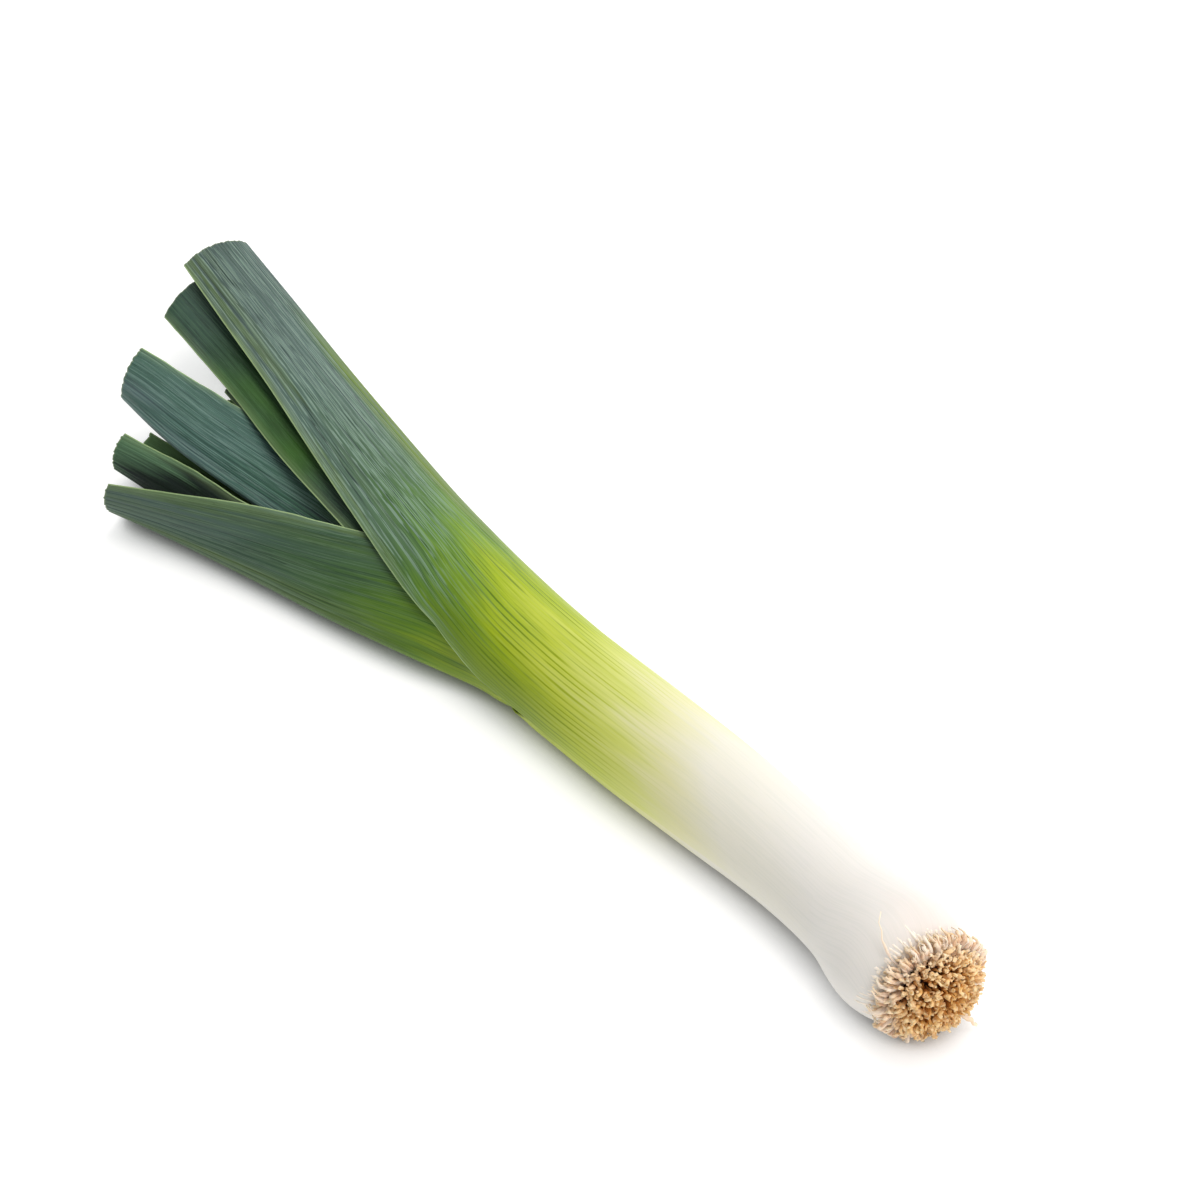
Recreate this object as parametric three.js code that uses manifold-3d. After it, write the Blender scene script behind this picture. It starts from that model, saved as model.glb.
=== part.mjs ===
// A trimmed leek lying on its side: a white shank that swells to a bulb, a fan of six folded
// leaves cut across at their tips, and a tuft of trimmed roots on the basal plate.
//
// Millimetres, +Z up. The roots point to +X and the leaf tips to -X. The origin is under the
// middle of the whole leek, on the surface that it lies on.
//
// Lengths along the leek are given as s, the distance from the basal plate towards the tips.
// Each leaf is a tube at its foot (the sheath) that opens on the side opposite its keel and
// goes on as a folded blade. Its section has a front half, over the top, and a back half,
// underneath. Both run from the keel to a free margin.
import * as THREE from "three";
import Module from "manifold-3d";

// ---------------------------------------------------------------- driving dimensions

const ORIGIN_S = 211.7; // from the basal plate to the middle of the whole length
const ORIGIN_Y = 11.2; // sideways, from the middle of the basal end to the middle of the width
const BLADE_THICKNESS = 1.3;
const FAN_ROLL = 15; // degrees: the plane of the keels is rolled up on the outer leaf's side
const BASE_TURN = 12; // degrees: the basal end looks this far towards -Y
const BASE_TURN_LENGTH = 60; // the shank is straight from here on
const HALF_COLUMNS = 8; // facets across each half of a leaf
const ROWS_PER_STATION = 2;
const KEEL_ROUNDING = 0.5; // share by which the keel's crease is drawn in
const THROAT_FLOOR_S = 172; // the solid shank ends here, inside the outermost leaf's throat
const SEAT_GAP = 0.3; // between that floor and the feet of the inner leaves

// The shank: distance along it, sideways centre, half width, half height, height of the centre.
const SHANK_STATIONS = [
  [-1.8, -1.2, 13.5, 13.5, 19.9],
  [1.2, -1.0, 17.6, 17.6, 19.9],
  [6.5, -0.5, 19.7, 19.7, 19.9],
  [14, 0.2, 20.4, 20.4, 20.0],
  [22, 1.4, 19.5, 19.5, 19.6],
  [34, 3.7, 17.7, 17.7, 19.0],
  [50, 6.0, 17.4, 17.4, 18.6],
  [70, 7.6, 17.8, 17.7, 18.3],
  [100, 8.5, 19.2, 18.8, 18.2],
  [135, 8.8, 20.0, 19.3, 18.2],
  [165, 9.4, 19.9, 19.2, 18.1],
  [190, 9.8, 19.9, 19.3, 18.4],
  [215, 10.1, 20.4, 19.8, 19.0],
];

// The leaves, from the outermost to the heart. side is the rank: +1 has its keel at +Y and -1 at
// -Y. inset is how far the sheath lies inside the shank's outline, and throat is where its tube
// opens. A station holds the keel, the front margin and the back margin as [s, y, z], then how
// far the front and the back half bulge from a straight line, and how flat-topped they are.
const LEAVES = [
  {
    name: "shank",
    side: 1,
    inset: 0,
    throat: 174,
    colour: 0xe9eadf,
    stations: [
      [[186, 29.2, 23.4], [186, -9.9, 13.8], [186, -4, 4.3], 18.9, 16.7, 0],
      [[198, 29.8, 24.3], [198, -10.4, 15.8], [198, 1, 1.5], 18.2, 13, 0.03],
      [[210, 30.7, 25.1], [210, -10.8, 20.2], [210, 2, 1.4], 16.4, 10.6, 0.08],
      [[224, 32.3, 25.9], [224, -10.5, 25.8], [224, 3, 1.3], 14, 8.6, 0.14],
      [[242, 35.2, 26.8], [239.5, -10.6, 32.2], [242, 5, 1.2], 11, 7, 0.2],
      [[268, 39.5, 27.9], [268, -5.5, 38.6], [268, 9, 1.2], 7.5, 6, 0.25],
      [[305, 46.7, 29.2], [308, 5.8, 39.2], [305, 16, 2], 5.5, 5, 0.25],
      [[350, 55.5, 31.2], [354, 19.5, 39], [350, 26, 3.5], 4.5, 4.5, 0.25],
      [[395, 65, 33.5], [400, 32.3, 38], [397, 37, 6], 4, 4, 0.25],
      [[437, 73.8, 35], [439, 43.5, 37], [437, 47, 9], 4, 4, 0.25],
    ],
  },
  {
    name: "leaf_left_outer",
    side: -1,
    inset: 3.0,
    throat: 178,
    colour: 0x5d7a5c,
    stations: [
      [[189, -8, 9.2], [189, 27, 24], [189, 26.2, 17.2], 18.8, 10.8, 0.2],
      [[200, -9, 8.4], [203, 26.8, 22.6], [203, 25.8, 16.6], 19.2, 8.7, 0.2],
      [[212, -11.8, 7.6], [215, 24.6, 26.4], [215, 22.4, 11], 15.5, 5.6, 0.33],
      [[225, -16.4, 9.2], [226, 18, 31], [228, 14, 5.8], 10, 4.2, 0.3],
      [[242, -20.6, 9.5], [244, 7, 36.6], [244, 8.6, 4.3], 7.6, 4.5, 0.25],
      [[266, -25.3, 8.4], [268, -7, 35.8], [266, 2, 2.8], 5.5, 4.4, 0.25],
      [[299, -31.1, 7.5], [302, -21.5, 33.5], [299, -9, 1.8], 4, 3.3, 0.25],
      [[334, -38.3, 7], [334, -37, 28.8], [336, -18, 1.5], 3, 2.6, 0.25],
      [[363, -45.6, 7], [358.8, -48.6, 24.5], [374, -29, 3.4], 3, 2.4, 0.25],
    ],
  },
  {
    name: "leaf_right_inner",
    side: 1,
    inset: 6.3,
    throat: 194,
    colour: 0x35533c,
    stations: [
      [[208, 22, 20.9], [208, -5.6, 17.2], [208, -4.2, 12.6], 10.8, 10.1, 0.03],
      [[224, 23.8, 20.8], [224, -7.2, 21.4], [224, -4, 9.4], 8.2, 7.3, 0.12],
      [[242, 27.6, 22], [242, -9.8, 26.2], [242, 1, 6.3], 7.4, 5.6, 0.2],
      [[258, 31, 22.2], [258, -9.6, 31.0], [258, 5, 5.2], 7, 5.8, 0.25],
      [[275, 34, 22], [275.5, -7.5, 34.2], [275, 8, 4.8], 5.5, 5.3, 0.25],
      [[322, 43, 23], [322.5, 1.6, 32], [322, 17, 5.8], 6, 4.3, 0.25],
      [[370, 53, 25], [369.8, 13.1, 30], [372, 28, 8], 5.5, 4, 0.25],
      [[430, 65, 28], [430.5, 26.8, 25], [430, 40, 11], 6, 3, 0.25],
    ],
  },
  {
    name: "leaf_left_middle",
    side: -1,
    inset: 8.7,
    throat: 197,
    colour: 0x2c4030,
    stations: [
      [[212, -3.6, 15.2], [212, 18.1, 23.1], [212, 18, 16.2], 7.7, 6.3, 0.08],
      [[228, -7.2, 14], [228, 15, 26], [228, 13.8, 11.8], 6.2, 3.9, 0.18],
      [[245, -13.2, 12.8], [245, 7.5, 29], [245, 9, 10.4], 5.3, 3, 0.22],
      [[275, -19, 10.6], [275, -6.5, 28.2], [275, 2, 7.6], 4.5, 3.5, 0.25],
      [[310, -24, 8.6], [310, -17.5, 25.5], [310, -4, 6.6], 3.5, 2.6, 0.25],
      [[350, -28, 7.4], [352, -17.6, 19.8], [352, -5, 9.4], 3, 2.4, 0.25],
      [[384, -30.3, 6.6], [384.6, -23.8, 20.2], [386, -11.9, 14], 3, 2.6, 0.25],
    ],
  },
  {
    name: "leaf_left_inner",
    side: -1,
    inset: 11.6,
    throat: 202,
    colour: 0x6b8a83,
    stations: [
      [[220, -1.4, 16.7], [220, 14.2, 22.4], [220, 14, 16.8], 4.9, 4.2, 0.1],
      [[240, -5, 16.2], [240, 14.6, 24], [240, 12.4, 14.1], 5, 3.4, 0.18],
      [[285, -9, 17], [285, 17, 26.4], [285, 13, 12.4], 4.5, 3.6, 0.25],
      [[325, -14.2, 20], [325, 15, 26.4], [325, 13, 13.5], 3.5, 3.8, 0.25],
      [[365, -17.3, 22.5], [365.6, 9.5, 30], [365, 9, 17.5], 3.2, 3.8, 0.25],
      [[401, -13.9, 22], [403.4, -0.9, 38], [402, 6, 22], 3, 3.5, 0.25],
    ],
  },
  {
    name: "leaf_heart",
    side: 1,
    inset: 15,
    throat: 207,
    colour: 0x47663f,
    stations: [
      [[222, 12.6, 19.4], [222, 3, 20.6], [222, 3.4, 17.8], 2.4, 2.4, 0.08],
      [[245, 14.6, 20], [245, 2.6, 21.4], [245, 3.6, 17], 2.5, 2.4, 0.15],
      [[285, 19.5, 20.2], [285, 4.5, 22.2], [285, 6.5, 16.4], 2.6, 2.6, 0.2],
      [[325, 23.5, 21], [325, 7.5, 23], [325, 9, 17.5], 2.4, 2.4, 0.25],
      [[377, 29, 22.6], [377, 15.9, 24.2], [377, 17, 19], 2.2, 2.2, 0.25],
    ],
  },
];

// The tuft, measured from the basal end's plane: outwards along its axis, and across from it.
const TUFT = {
  seed: 7,
  core: { along: 6.5, across: 14 }, // a low dome on the basal plate
  shell: { centre: -0.5, along: 14.8, across: 18.7 }, // where the cut ends of the roots lie
  count: 124,
  widest: 82, // degrees from the axis, seen from the shell's centre
  rimCount: 34, // roots that lie back on the bulb's shoulder
  rimAcross: 20.4,
  rimBack: 3.4,
  radius: 0.8,
  sides: 4,
  lowest: 0.9, // height of the lowest root's middle
};
// Two roots that stand out of the tuft: turn about its axis in degrees, then [out, across] points.
const STRAY_ROOTS = [
  [122, [[1.5, 12], [0.5, 19.5], [-9, 24.5]]],
  [-52, [[3, 11], [6, 17.5], [8.5, 22.5]]],
];

// ---------------------------------------------------------------- curves and sections

const radians = THREE.MathUtils.degToRad;

/** A table's values at s, on a smooth curve through its rows. */
function along(table, s) {
  const last = table.length - 2;
  let i = 0;
  while (i < last && s > table[i + 1][0]) i += 1;
  const [p, q] = [table[i], table[i + 1]];
  const span = q[0] - p[0];
  const f = (s - p[0]) / span;
  const before = table[Math.max(i - 1, 0)];
  const after = table[Math.min(i + 2, table.length - 1)];
  return p.slice(1).map((value, k) => {
    const c = k + 1;
    const slopeIn = ((q[c] - before[c]) / (q[0] - before[0])) * span;
    const slopeOut = ((after[c] - p[c]) / (after[0] - p[0])) * span;
    return (
      (2 * f ** 3 - 3 * f ** 2 + 1) * value +
      (f ** 3 - 2 * f ** 2 + f) * slopeIn +
      (3 * f ** 2 - 2 * f ** 3) * q[c] +
      (f ** 3 - f ** 2) * slopeOut
    );
  });
}

/** The point s from the basal plate, y sideways from its middle and z high, in the part's axes. */
function place(s, y, z) {
  return new THREE.Vector3(ORIGIN_S - s, y - ORIGIN_Y, z);
}

/** The angle by which the shank's section at s is turned towards -Y. */
function sectionTurn(s) {
  return radians(BASE_TURN) * (1 - THREE.MathUtils.smoothstep(s, 0, BASE_TURN_LENGTH));
}

/** The closed section of a sheath: its keel, its far side and the handles of its two halves. */
function sheathRow(leaf, s) {
  const [y, a, b, z] = along(SHANK_STATIONS, s);
  const keel = radians(FAN_ROLL + (leaf.side > 0 ? 0 : 180));
  const onOutline = (angle) => [(a - leaf.inset) * Math.cos(angle), (b - leaf.inset) * Math.sin(angle)];
  const [ky, kz] = onOutline(keel);
  const [hy, hz] = onOutline(keel + (leaf.side * Math.PI) / 2);
  const lean = Math.tan(sectionTurn(s));
  const handle = new THREE.Vector3(hy * lean, hy, hz).multiplyScalar(4 / 3);
  const far = place(s + ky * lean, y - ky, z - kz);
  return {
    keel: place(s - ky * lean, y + ky, z + kz),
    front: far,
    back: far.clone(),
    frontHandle: handle,
    backHandle: handle.clone().negate(),
    flat: 0,
    closed: true,
  };
}

/** A handle square to the line from the keel to a margin, pointing away from the other half. */
function bulgeHandle(keel, margin, other, bulge) {
  const chord = margin.clone().sub(keel);
  const normal = new THREE.Vector3(0, -chord.z, chord.y).normalize();
  if (normal.dot(other.clone().sub(keel)) > 0) normal.negate();
  return normal.multiplyScalar((bulge * 4) / 3);
}

/** The open section of a blade at one of the leaf's stations. */
function bladeRow([keelAt, frontAt, backAt, frontBulge, backBulge, flat]) {
  const keel = place(...keelAt);
  const front = place(...frontAt);
  const back = place(...backAt);
  return {
    keel,
    front,
    back,
    frontHandle: bulgeHandle(keel, front, back, frontBulge),
    backHandle: bulgeHandle(keel, back, front, backBulge),
    flat,
    closed: false,
  };
}

/** The row between rows[i] and rows[i + 1], a share f of the way, on Catmull-Rom curves. */
function between(rows, i, f) {
  const p1 = rows[i];
  const p2 = rows[i + 1];
  const p0 = rows[i - 1] ?? p1;
  const p3 = rows[i + 2] ?? p2;
  const weights = [
    (-f + 2 * f ** 2 - f ** 3) / 2,
    (2 - 5 * f ** 2 + 3 * f ** 3) / 2,
    (f + 4 * f ** 2 - 3 * f ** 3) / 2,
    (f ** 3 - f ** 2) / 2,
  ];
  const ends = [p0, p1, p2, p3];
  const mix = (key) =>
    ends.reduce((sum, row, k) => sum.addScaledVector(row[key], weights[k]), new THREE.Vector3());
  return {
    keel: mix("keel"),
    front: mix("front"),
    back: mix("back"),
    frontHandle: mix("frontHandle"),
    backHandle: mix("backHandle"),
    flat: ends.reduce((sum, row, k) => sum + row.flat * weights[k], 0),
    closed: false,
  };
}

/** One half of a section, from the keel to a margin, as points on a cubic curve. */
function halfSection(keel, margin, handle, flat) {
  const chord = margin.clone().sub(keel).multiplyScalar(flat);
  const curve = new THREE.CubicBezierCurve3(
    keel,
    keel.clone().add(chord).add(handle),
    margin.clone().sub(chord).add(handle),
    margin,
  );
  return curve.getPoints(HALF_COLUMNS);
}

/** A row's points, from the front margin round the keel to the back margin, none below z = 0. */
function sectionPoints(row) {
  const front = halfSection(row.keel, row.front, row.frontHandle, row.flat).reverse();
  const back = halfSection(row.keel, row.back, row.backHandle, row.flat);
  const points = [...front, ...back.slice(1)];
  const k = HALF_COLUMNS;
  const beside = points[k - 1].clone().lerp(points[k + 1], 0.5);
  points[k].lerp(beside, KEEL_ROUNDING);
  points.forEach((point) => (point.z = Math.max(point.z, 0)));
  return points;
}

// ---------------------------------------------------------------- solids

/** The direction out of the leaf's outer face at each point of the grid. */
function outwardNormals(grid, rows) {
  const last = 2 * HALF_COLUMNS;
  return grid.map((points, i) => {
    const above = grid[Math.min(i + 1, grid.length - 1)];
    const below = grid[Math.max(i - 1, 0)];
    return points.map((_, j) => {
      const wraps = rows[i].closed && (j === 0 || j === last);
      const next = wraps ? points[1] : points[Math.min(j + 1, last)];
      const previous = wraps ? points[last - 1] : points[Math.max(j - 1, 0)];
      const lengthways = above[j].clone().sub(below[j]);
      return next.clone().sub(previous).cross(lengthways).normalize();
    });
  });
}

/**
 * A leaf as one closed solid: its outer face over all rows, its inner face from innerFrom on,
 * and the edges between them. Below innerFrom it is solid, closed by a cap at its foot.
 */
function leafGeometry(leaf, rows, innerFrom) {
  const outer = rows.map(sectionPoints);
  const normals = outwardNormals(outer, rows);
  const inward = -BLADE_THICKNESS * leaf.side;
  const inner = outer.map((points, i) =>
    points.map((p, j) => p.clone().addScaledVector(normals[i][j], inward)),
  );
  const columns = 2 * HALF_COLUMNS + 1;
  const positions = [];
  const indices = [];
  const push = (point) => positions.push(point.x, point.y, point.z) / 3 - 1;
  const outerIds = outer.map((points) => points.map(push));
  const innerIds = inner.map((points) => points.map(push));
  [outerIds, innerIds].forEach((ids) =>
    ids.forEach((line, i) => {
      if (rows[i].closed) line[columns - 1] = line[0];
    }),
  );
  const triangle = (a, b, c) => indices.push(...(leaf.side > 0 ? [a, b, c] : [a, c, b]));
  const quad = (a, b, c, d) => {
    triangle(a, b, c);
    triangle(a, c, d);
  };
  const fan = (ring, centre, flip) => {
    const hub = push(centre);
    for (let j = 0; j < columns - 1; j += 1) {
      if (flip) triangle(ring[j + 1], ring[j], hub);
      else triangle(ring[j], ring[j + 1], hub);
    }
  };
  const end = rows.length - 1;
  for (let i = 0; i < end; i += 1) {
    const [o, p, n, m] = [outerIds[i], outerIds[i + 1], innerIds[i], innerIds[i + 1]];
    for (let j = 0; j < columns - 1; j += 1) {
      quad(o[j], o[j + 1], p[j + 1], p[j]);
      if (i >= innerFrom) quad(n[j], m[j], m[j + 1], n[j + 1]);
    }
    if (!rows[i + 1].closed) {
      const z = columns - 1;
      quad(n[0], o[0], p[0], m[0]);
      quad(o[z], n[z], m[z], p[z]);
    }
  }
  for (let j = 0; j < columns - 1; j += 1) {
    quad(outerIds[end][j], outerIds[end][j + 1], innerIds[end][j + 1], innerIds[end][j]);
    if (innerFrom === 0) quad(outerIds[0][j + 1], outerIds[0][j], innerIds[0][j], innerIds[0][j + 1]);
  }
  if (innerFrom > 0) {
    const middle = (points) =>
      points.slice(1).reduce((sum, p) => sum.add(p), new THREE.Vector3()).divideScalar(columns - 1);
    fan(outerIds[0], middle(outer[0]), true);
    fan(innerIds[innerFrom], middle(inner[innerFrom]), false);
  }
  const used = new Map();
  const kept = [];
  const compact = indices.map((id) => {
    if (!used.has(id)) {
      used.set(id, used.size);
      kept.push(...positions.slice(3 * id, 3 * id + 3));
    }
    return used.get(id);
  });
  const solid = [];
  for (let t = 0; t < compact.length; t += 3) {
    const [a, b, c] = compact.slice(t, t + 3);
    if (a !== b && b !== c && c !== a) solid.push(a, b, c);
  }
  return new THREE.BufferGeometry()
    .setAttribute("position", new THREE.Float32BufferAttribute(kept, 3))
    .setIndex(solid);
}

/** A leaf's rows: closed ones along its sheath, then its blade, station by station. */
function leafRows(leaf, sheathAt) {
  const sheath = sheathAt.map((s) => sheathRow(leaf, s));
  const stations = [...sheath.slice(-1), ...leaf.stations.map(bladeRow)];
  const guide = [...sheath.slice(-2), ...stations.slice(1)];
  const blade = [];
  for (let i = 1; i < guide.length - 1; i += 1) {
    for (let k = 1; k <= ROWS_PER_STATION; k += 1) blade.push(between(guide, i, k / ROWS_PER_STATION));
  }
  return [...sheath, ...blade];
}

/** The bulb, the solid shank and the outermost leaf, which grew as one piece. */
function shankGeometry(leaf) {
  const foot = SHANK_STATIONS.map(([s]) => s).filter((s) => s < THROAT_FLOOR_S);
  const sheathAt = [...foot, THROAT_FLOOR_S, leaf.throat];
  return leafGeometry(leaf, leafRows(leaf, sheathAt), foot.length);
}

/** A leaf that stands with its sheath in the throat of the outermost one. */
function innerLeafGeometry(leaf) {
  return leafGeometry(leaf, leafRows(leaf, [THROAT_FLOOR_S + SEAT_GAP, leaf.throat]), 0);
}

// ---------------------------------------------------------------- roots

/** A repeatable source of numbers from 0 to 1. */
function seededRandom(seed) {
  let state = seed;
  return () => {
    state = (state + 0x6d2b79f5) | 0;
    let t = Math.imul(state ^ (state >>> 15), 1 | state);
    t = (t + Math.imul(t ^ (t >>> 7), 61 | t)) ^ t;
    return ((t ^ (t >>> 14)) >>> 0) / 4294967296;
  };
}

/** A closed tube along points, tapering from one radius to another, with flat ends. */
function tubeMesh(points, startRadius, endRadius, sides) {
  const positions = [];
  const indices = [];
  const steps = points.length - 1;
  const axis = points[steps].clone().sub(points[0]).normalize();
  const helper = Math.abs(axis.z) < 0.8 ? new THREE.Vector3(0, 0, 1) : new THREE.Vector3(0, 1, 0);
  const right = helper.cross(axis).normalize();
  const up = axis.clone().cross(right);
  points.forEach((point, i) => {
    const radius = THREE.MathUtils.lerp(startRadius, endRadius, i / steps);
    for (let k = 0; k < sides; k += 1) {
      const angle = (2 * Math.PI * k) / sides;
      const p = point.clone();
      p.addScaledVector(right, radius * Math.cos(angle)).addScaledVector(up, radius * Math.sin(angle));
      positions.push(p.x, p.y, p.z);
    }
  });
  for (let i = 0; i < steps; i += 1) {
    for (let k = 0; k < sides; k += 1) {
      const [a, b] = [i * sides + k, i * sides + ((k + 1) % sides)];
      indices.push(a, b, b + sides, a, b + sides, a + sides);
    }
  }
  for (let k = 1; k < sides - 1; k += 1) {
    const top = steps * sides;
    indices.push(0, k + 1, k, top, top + k, top + k + 1);
  }
  return { positions, indices };
}

/** The low dome of the basal plate as a closed mesh with a flat foot. */
function domeMesh(at, { along: height, across }) {
  const rings = 4;
  const sides = 18;
  const top = at(SEAT_GAP + height, 0, 0);
  const foot = at(SEAT_GAP, 0, 0);
  const positions = [top.x, top.y, top.z, foot.x, foot.y, foot.z];
  const indices = [];
  const vertex = (ring, k) => 2 + (ring - 1) * sides + (k % sides);
  for (let ring = 1; ring <= rings; ring += 1) {
    const theta = ((ring / rings) * Math.PI) / 2;
    for (let k = 0; k < sides; k += 1) {
      const p = at(SEAT_GAP + height * Math.cos(theta), across * Math.sin(theta), (2 * Math.PI * k) / sides);
      positions.push(p.x, p.y, p.z);
    }
  }
  for (let k = 0; k < sides; k += 1) {
    indices.push(0, vertex(1, k), vertex(1, k + 1), 1, vertex(rings, k + 1), vertex(rings, k));
    for (let ring = 1; ring < rings; ring += 1) {
      const [a, b] = [vertex(ring, k), vertex(ring + 1, k)];
      const [c, d] = [vertex(ring + 1, k + 1), vertex(ring, k + 1)];
      indices.push(a, b, c, a, c, d);
    }
  }
  return { positions, indices };
}

/** The three points of a root that ends on the shell, evenly spread by its number, then nudged. */
function shellRoot(i, random) {
  const { shell, count, widest } = TUFT;
  const goldenAngle = Math.PI * (3 - Math.sqrt(5));
  const cosine = 1 - ((i + 0.5) / count) * (1 - Math.cos(radians(widest)));
  const theta = Math.acos(cosine);
  const psi = i * goldenAngle + (random() - 0.5) * 0.2;
  const reach = 0.9 + 0.14 * random();
  const tip = [shell.centre + shell.along * Math.cos(theta) * reach, shell.across * Math.sin(theta) * reach];
  const foot = [1.5 + 1.5 * cosine, tip[1] * 0.6];
  const middle = [foot[0] * 0.35 + tip[0] * 0.65 + 0.6, foot[1] * 0.35 + tip[1] * 0.65];
  const twist = (random() - 0.5) * 0.22;
  return [
    [...foot, psi],
    [...middle, psi + twist * 0.4],
    [...tip, psi + twist],
  ];
}

/** The three points of a root that bends back over the bulb's shoulder. */
function rimRoot(i, random) {
  const { shell, rimCount, rimAcross, rimBack } = TUFT;
  const psi = (2 * Math.PI * (i + 0.6 * random())) / rimCount;
  const back = rimBack * (0.45 + 0.55 * random());
  return [
    [1.6, 11.5, psi],
    [0.9, shell.across - 0.2, psi + 0.05],
    [-back, THREE.MathUtils.lerp(shell.across, rimAcross, back / rimBack), psi + (random() - 0.5) * 0.2],
  ];
}

/** The root tuft as one solid: the dome of the basal plate and every root, joined. */
function tuftGeometry(wasm) {
  const random = seededRandom(TUFT.seed);
  const [endS] = SHANK_STATIONS[0];
  const [endY, , , endZ] = along(SHANK_STATIONS, endS);
  const end = place(endS, endY, endZ);
  const turn = sectionTurn(endS);
  const out = new THREE.Vector3(Math.cos(turn), -Math.sin(turn), 0);
  const sideways = new THREE.Vector3(Math.sin(turn), Math.cos(turn), 0);
  const at = (w, rho, psi) => {
    const p = end.clone().addScaledVector(out, w).addScaledVector(sideways, rho * Math.cos(psi));
    p.z += rho * Math.sin(psi);
    return p;
  };
  const solid = ({ positions, indices }) =>
    new wasm.Manifold(
      new wasm.Mesh({
        numProp: 3,
        vertProperties: new Float32Array(positions),
        triVerts: new Uint32Array(indices),
      }),
    );
  const roots = [];
  for (let i = 0; i < TUFT.count; i += 1) roots.push(shellRoot(i, random));
  for (let i = 0; i < TUFT.rimCount; i += 1) roots.push(rimRoot(i, random));
  STRAY_ROOTS.forEach(([turnAbout, points]) => roots.push(points.map((p) => [...p, radians(turnAbout)])));
  let tuft = solid(domeMesh(at, TUFT.core));
  roots
    .map((path) => path.map(([w, rho, psi]) => at(w, rho, psi)))
    .filter((points) => points.every((p) => p.z > TUFT.lowest))
    .forEach((points) => {
      tuft = tuft.add(solid(tubeMesh(points, TUFT.radius, TUFT.radius * 0.85, TUFT.sides)));
    });
  const mesh = tuft.getMesh();
  return new THREE.BufferGeometry()
    .setAttribute("position", new THREE.Float32BufferAttribute(mesh.vertProperties, mesh.numProp))
    .setIndex([...mesh.triVerts]);
}

// ---------------------------------------------------------------- assembly

const wasm = await Module();
wasm.setup();

const leek = new THREE.Group();

function addPiece(name, geometry, colour, roughness) {
  const material = new THREE.MeshStandardMaterial({ color: colour, roughness, metalness: 0 });
  const mesh = new THREE.Mesh(geometry, material);
  mesh.name = name;
  geometry.computeVertexNormals();
  leek.add(mesh);
}

const [outermost, ...innerLeaves] = LEAVES;
const shank = shankGeometry(outermost);
addPiece(outermost.name, shank, outermost.colour, 0.4);
innerLeaves.forEach((leaf) => addPiece(leaf.name, innerLeafGeometry(leaf), leaf.colour, 0.5));
addPiece("root_tuft", tuftGeometry(wasm), 0xc9a25e, 0.85);

export default leek;
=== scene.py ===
"""A trimmed leek lying on a pale surface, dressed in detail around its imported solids.

The leek is built of three kinds of piece: the shank, which is one piece with the outermost leaf,
the inner leaves that stand in its throat, and the tuft of trimmed roots with the thin ones that
lie back on the bulb. Sizes are in millimetres until a mesh is made, which is in metres.

Lengths along the leek are "along", the distance from the basal plate towards the leaf tips.
"""

import logging
import math
from dataclasses import dataclass, field
from enum import Enum
from typing import Any, Sequence

import bpy
import numpy as np
from mathutils import Matrix, Vector


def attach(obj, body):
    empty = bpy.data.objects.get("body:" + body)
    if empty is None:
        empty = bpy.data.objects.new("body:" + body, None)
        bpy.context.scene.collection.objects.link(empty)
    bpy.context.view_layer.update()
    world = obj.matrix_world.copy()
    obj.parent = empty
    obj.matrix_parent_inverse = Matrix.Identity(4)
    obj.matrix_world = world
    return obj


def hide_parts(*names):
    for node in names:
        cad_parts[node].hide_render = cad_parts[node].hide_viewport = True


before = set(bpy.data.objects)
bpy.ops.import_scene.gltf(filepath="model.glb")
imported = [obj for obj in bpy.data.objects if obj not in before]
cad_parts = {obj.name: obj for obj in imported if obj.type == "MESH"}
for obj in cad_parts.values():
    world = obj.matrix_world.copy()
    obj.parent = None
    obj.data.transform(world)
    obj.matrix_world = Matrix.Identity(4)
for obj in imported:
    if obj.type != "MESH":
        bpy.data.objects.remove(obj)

LOG = logging.getLogger("leek")
MM = 0.001  # metres
BODY = "root"
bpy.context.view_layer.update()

# The row's frame: its origin lies this far along the leek and this far sideways.
ORIGIN_ALONG = 211.7
ORIGIN_SIDE = 11.2

Span = tuple[float, float]  # where something starts and where it is complete
Sockets = dict[str | int, Any]  # an output socket or a value for each of a node's inputs


# ------------------------------------------------------------------ small helpers


def linear(hex_colour: str) -> tuple[float, float, float, float]:
    """Turn an sRGB hex colour into linear light.

    Args:
        hex_colour: six hex digits, such as "c8d76e".

    Returns:
        Red, green, blue and an alpha of 1, in linear light.
    """
    channels = [int(hex_colour[i : i + 2], 16) / 255 for i in (0, 2, 4)]
    lit = [c / 12.92 if c <= 0.04045 else ((c + 0.055) / 1.055) ** 2.4 for c in channels]
    return (lit[0], lit[1], lit[2], 1.0)


def smoothstep(values: Any, low: float, high: float) -> Any:
    """Ease from 0 at low to 1 at high."""
    f = np.clip((np.asarray(values, float) - low) / (high - low), 0.0, 1.0)
    return f * f * (3.0 - 2.0 * f)


def place(along: Any, side: Any, height: Any) -> np.ndarray:
    """Give points in the row's axes, in millimetres.

    Args:
        along: distance from the basal plate towards the tips.
        side: sideways distance from the middle of the basal end.
        height: height above the surface.

    Returns:
        An array whose last axis is x, y, z.
    """
    x, y = ORIGIN_ALONG - np.asarray(along, float), np.asarray(side, float) - ORIGIN_SIDE
    return np.stack([np.asarray(p, float) for p in np.broadcast_arrays(x, y, height)], axis=-1)


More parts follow.
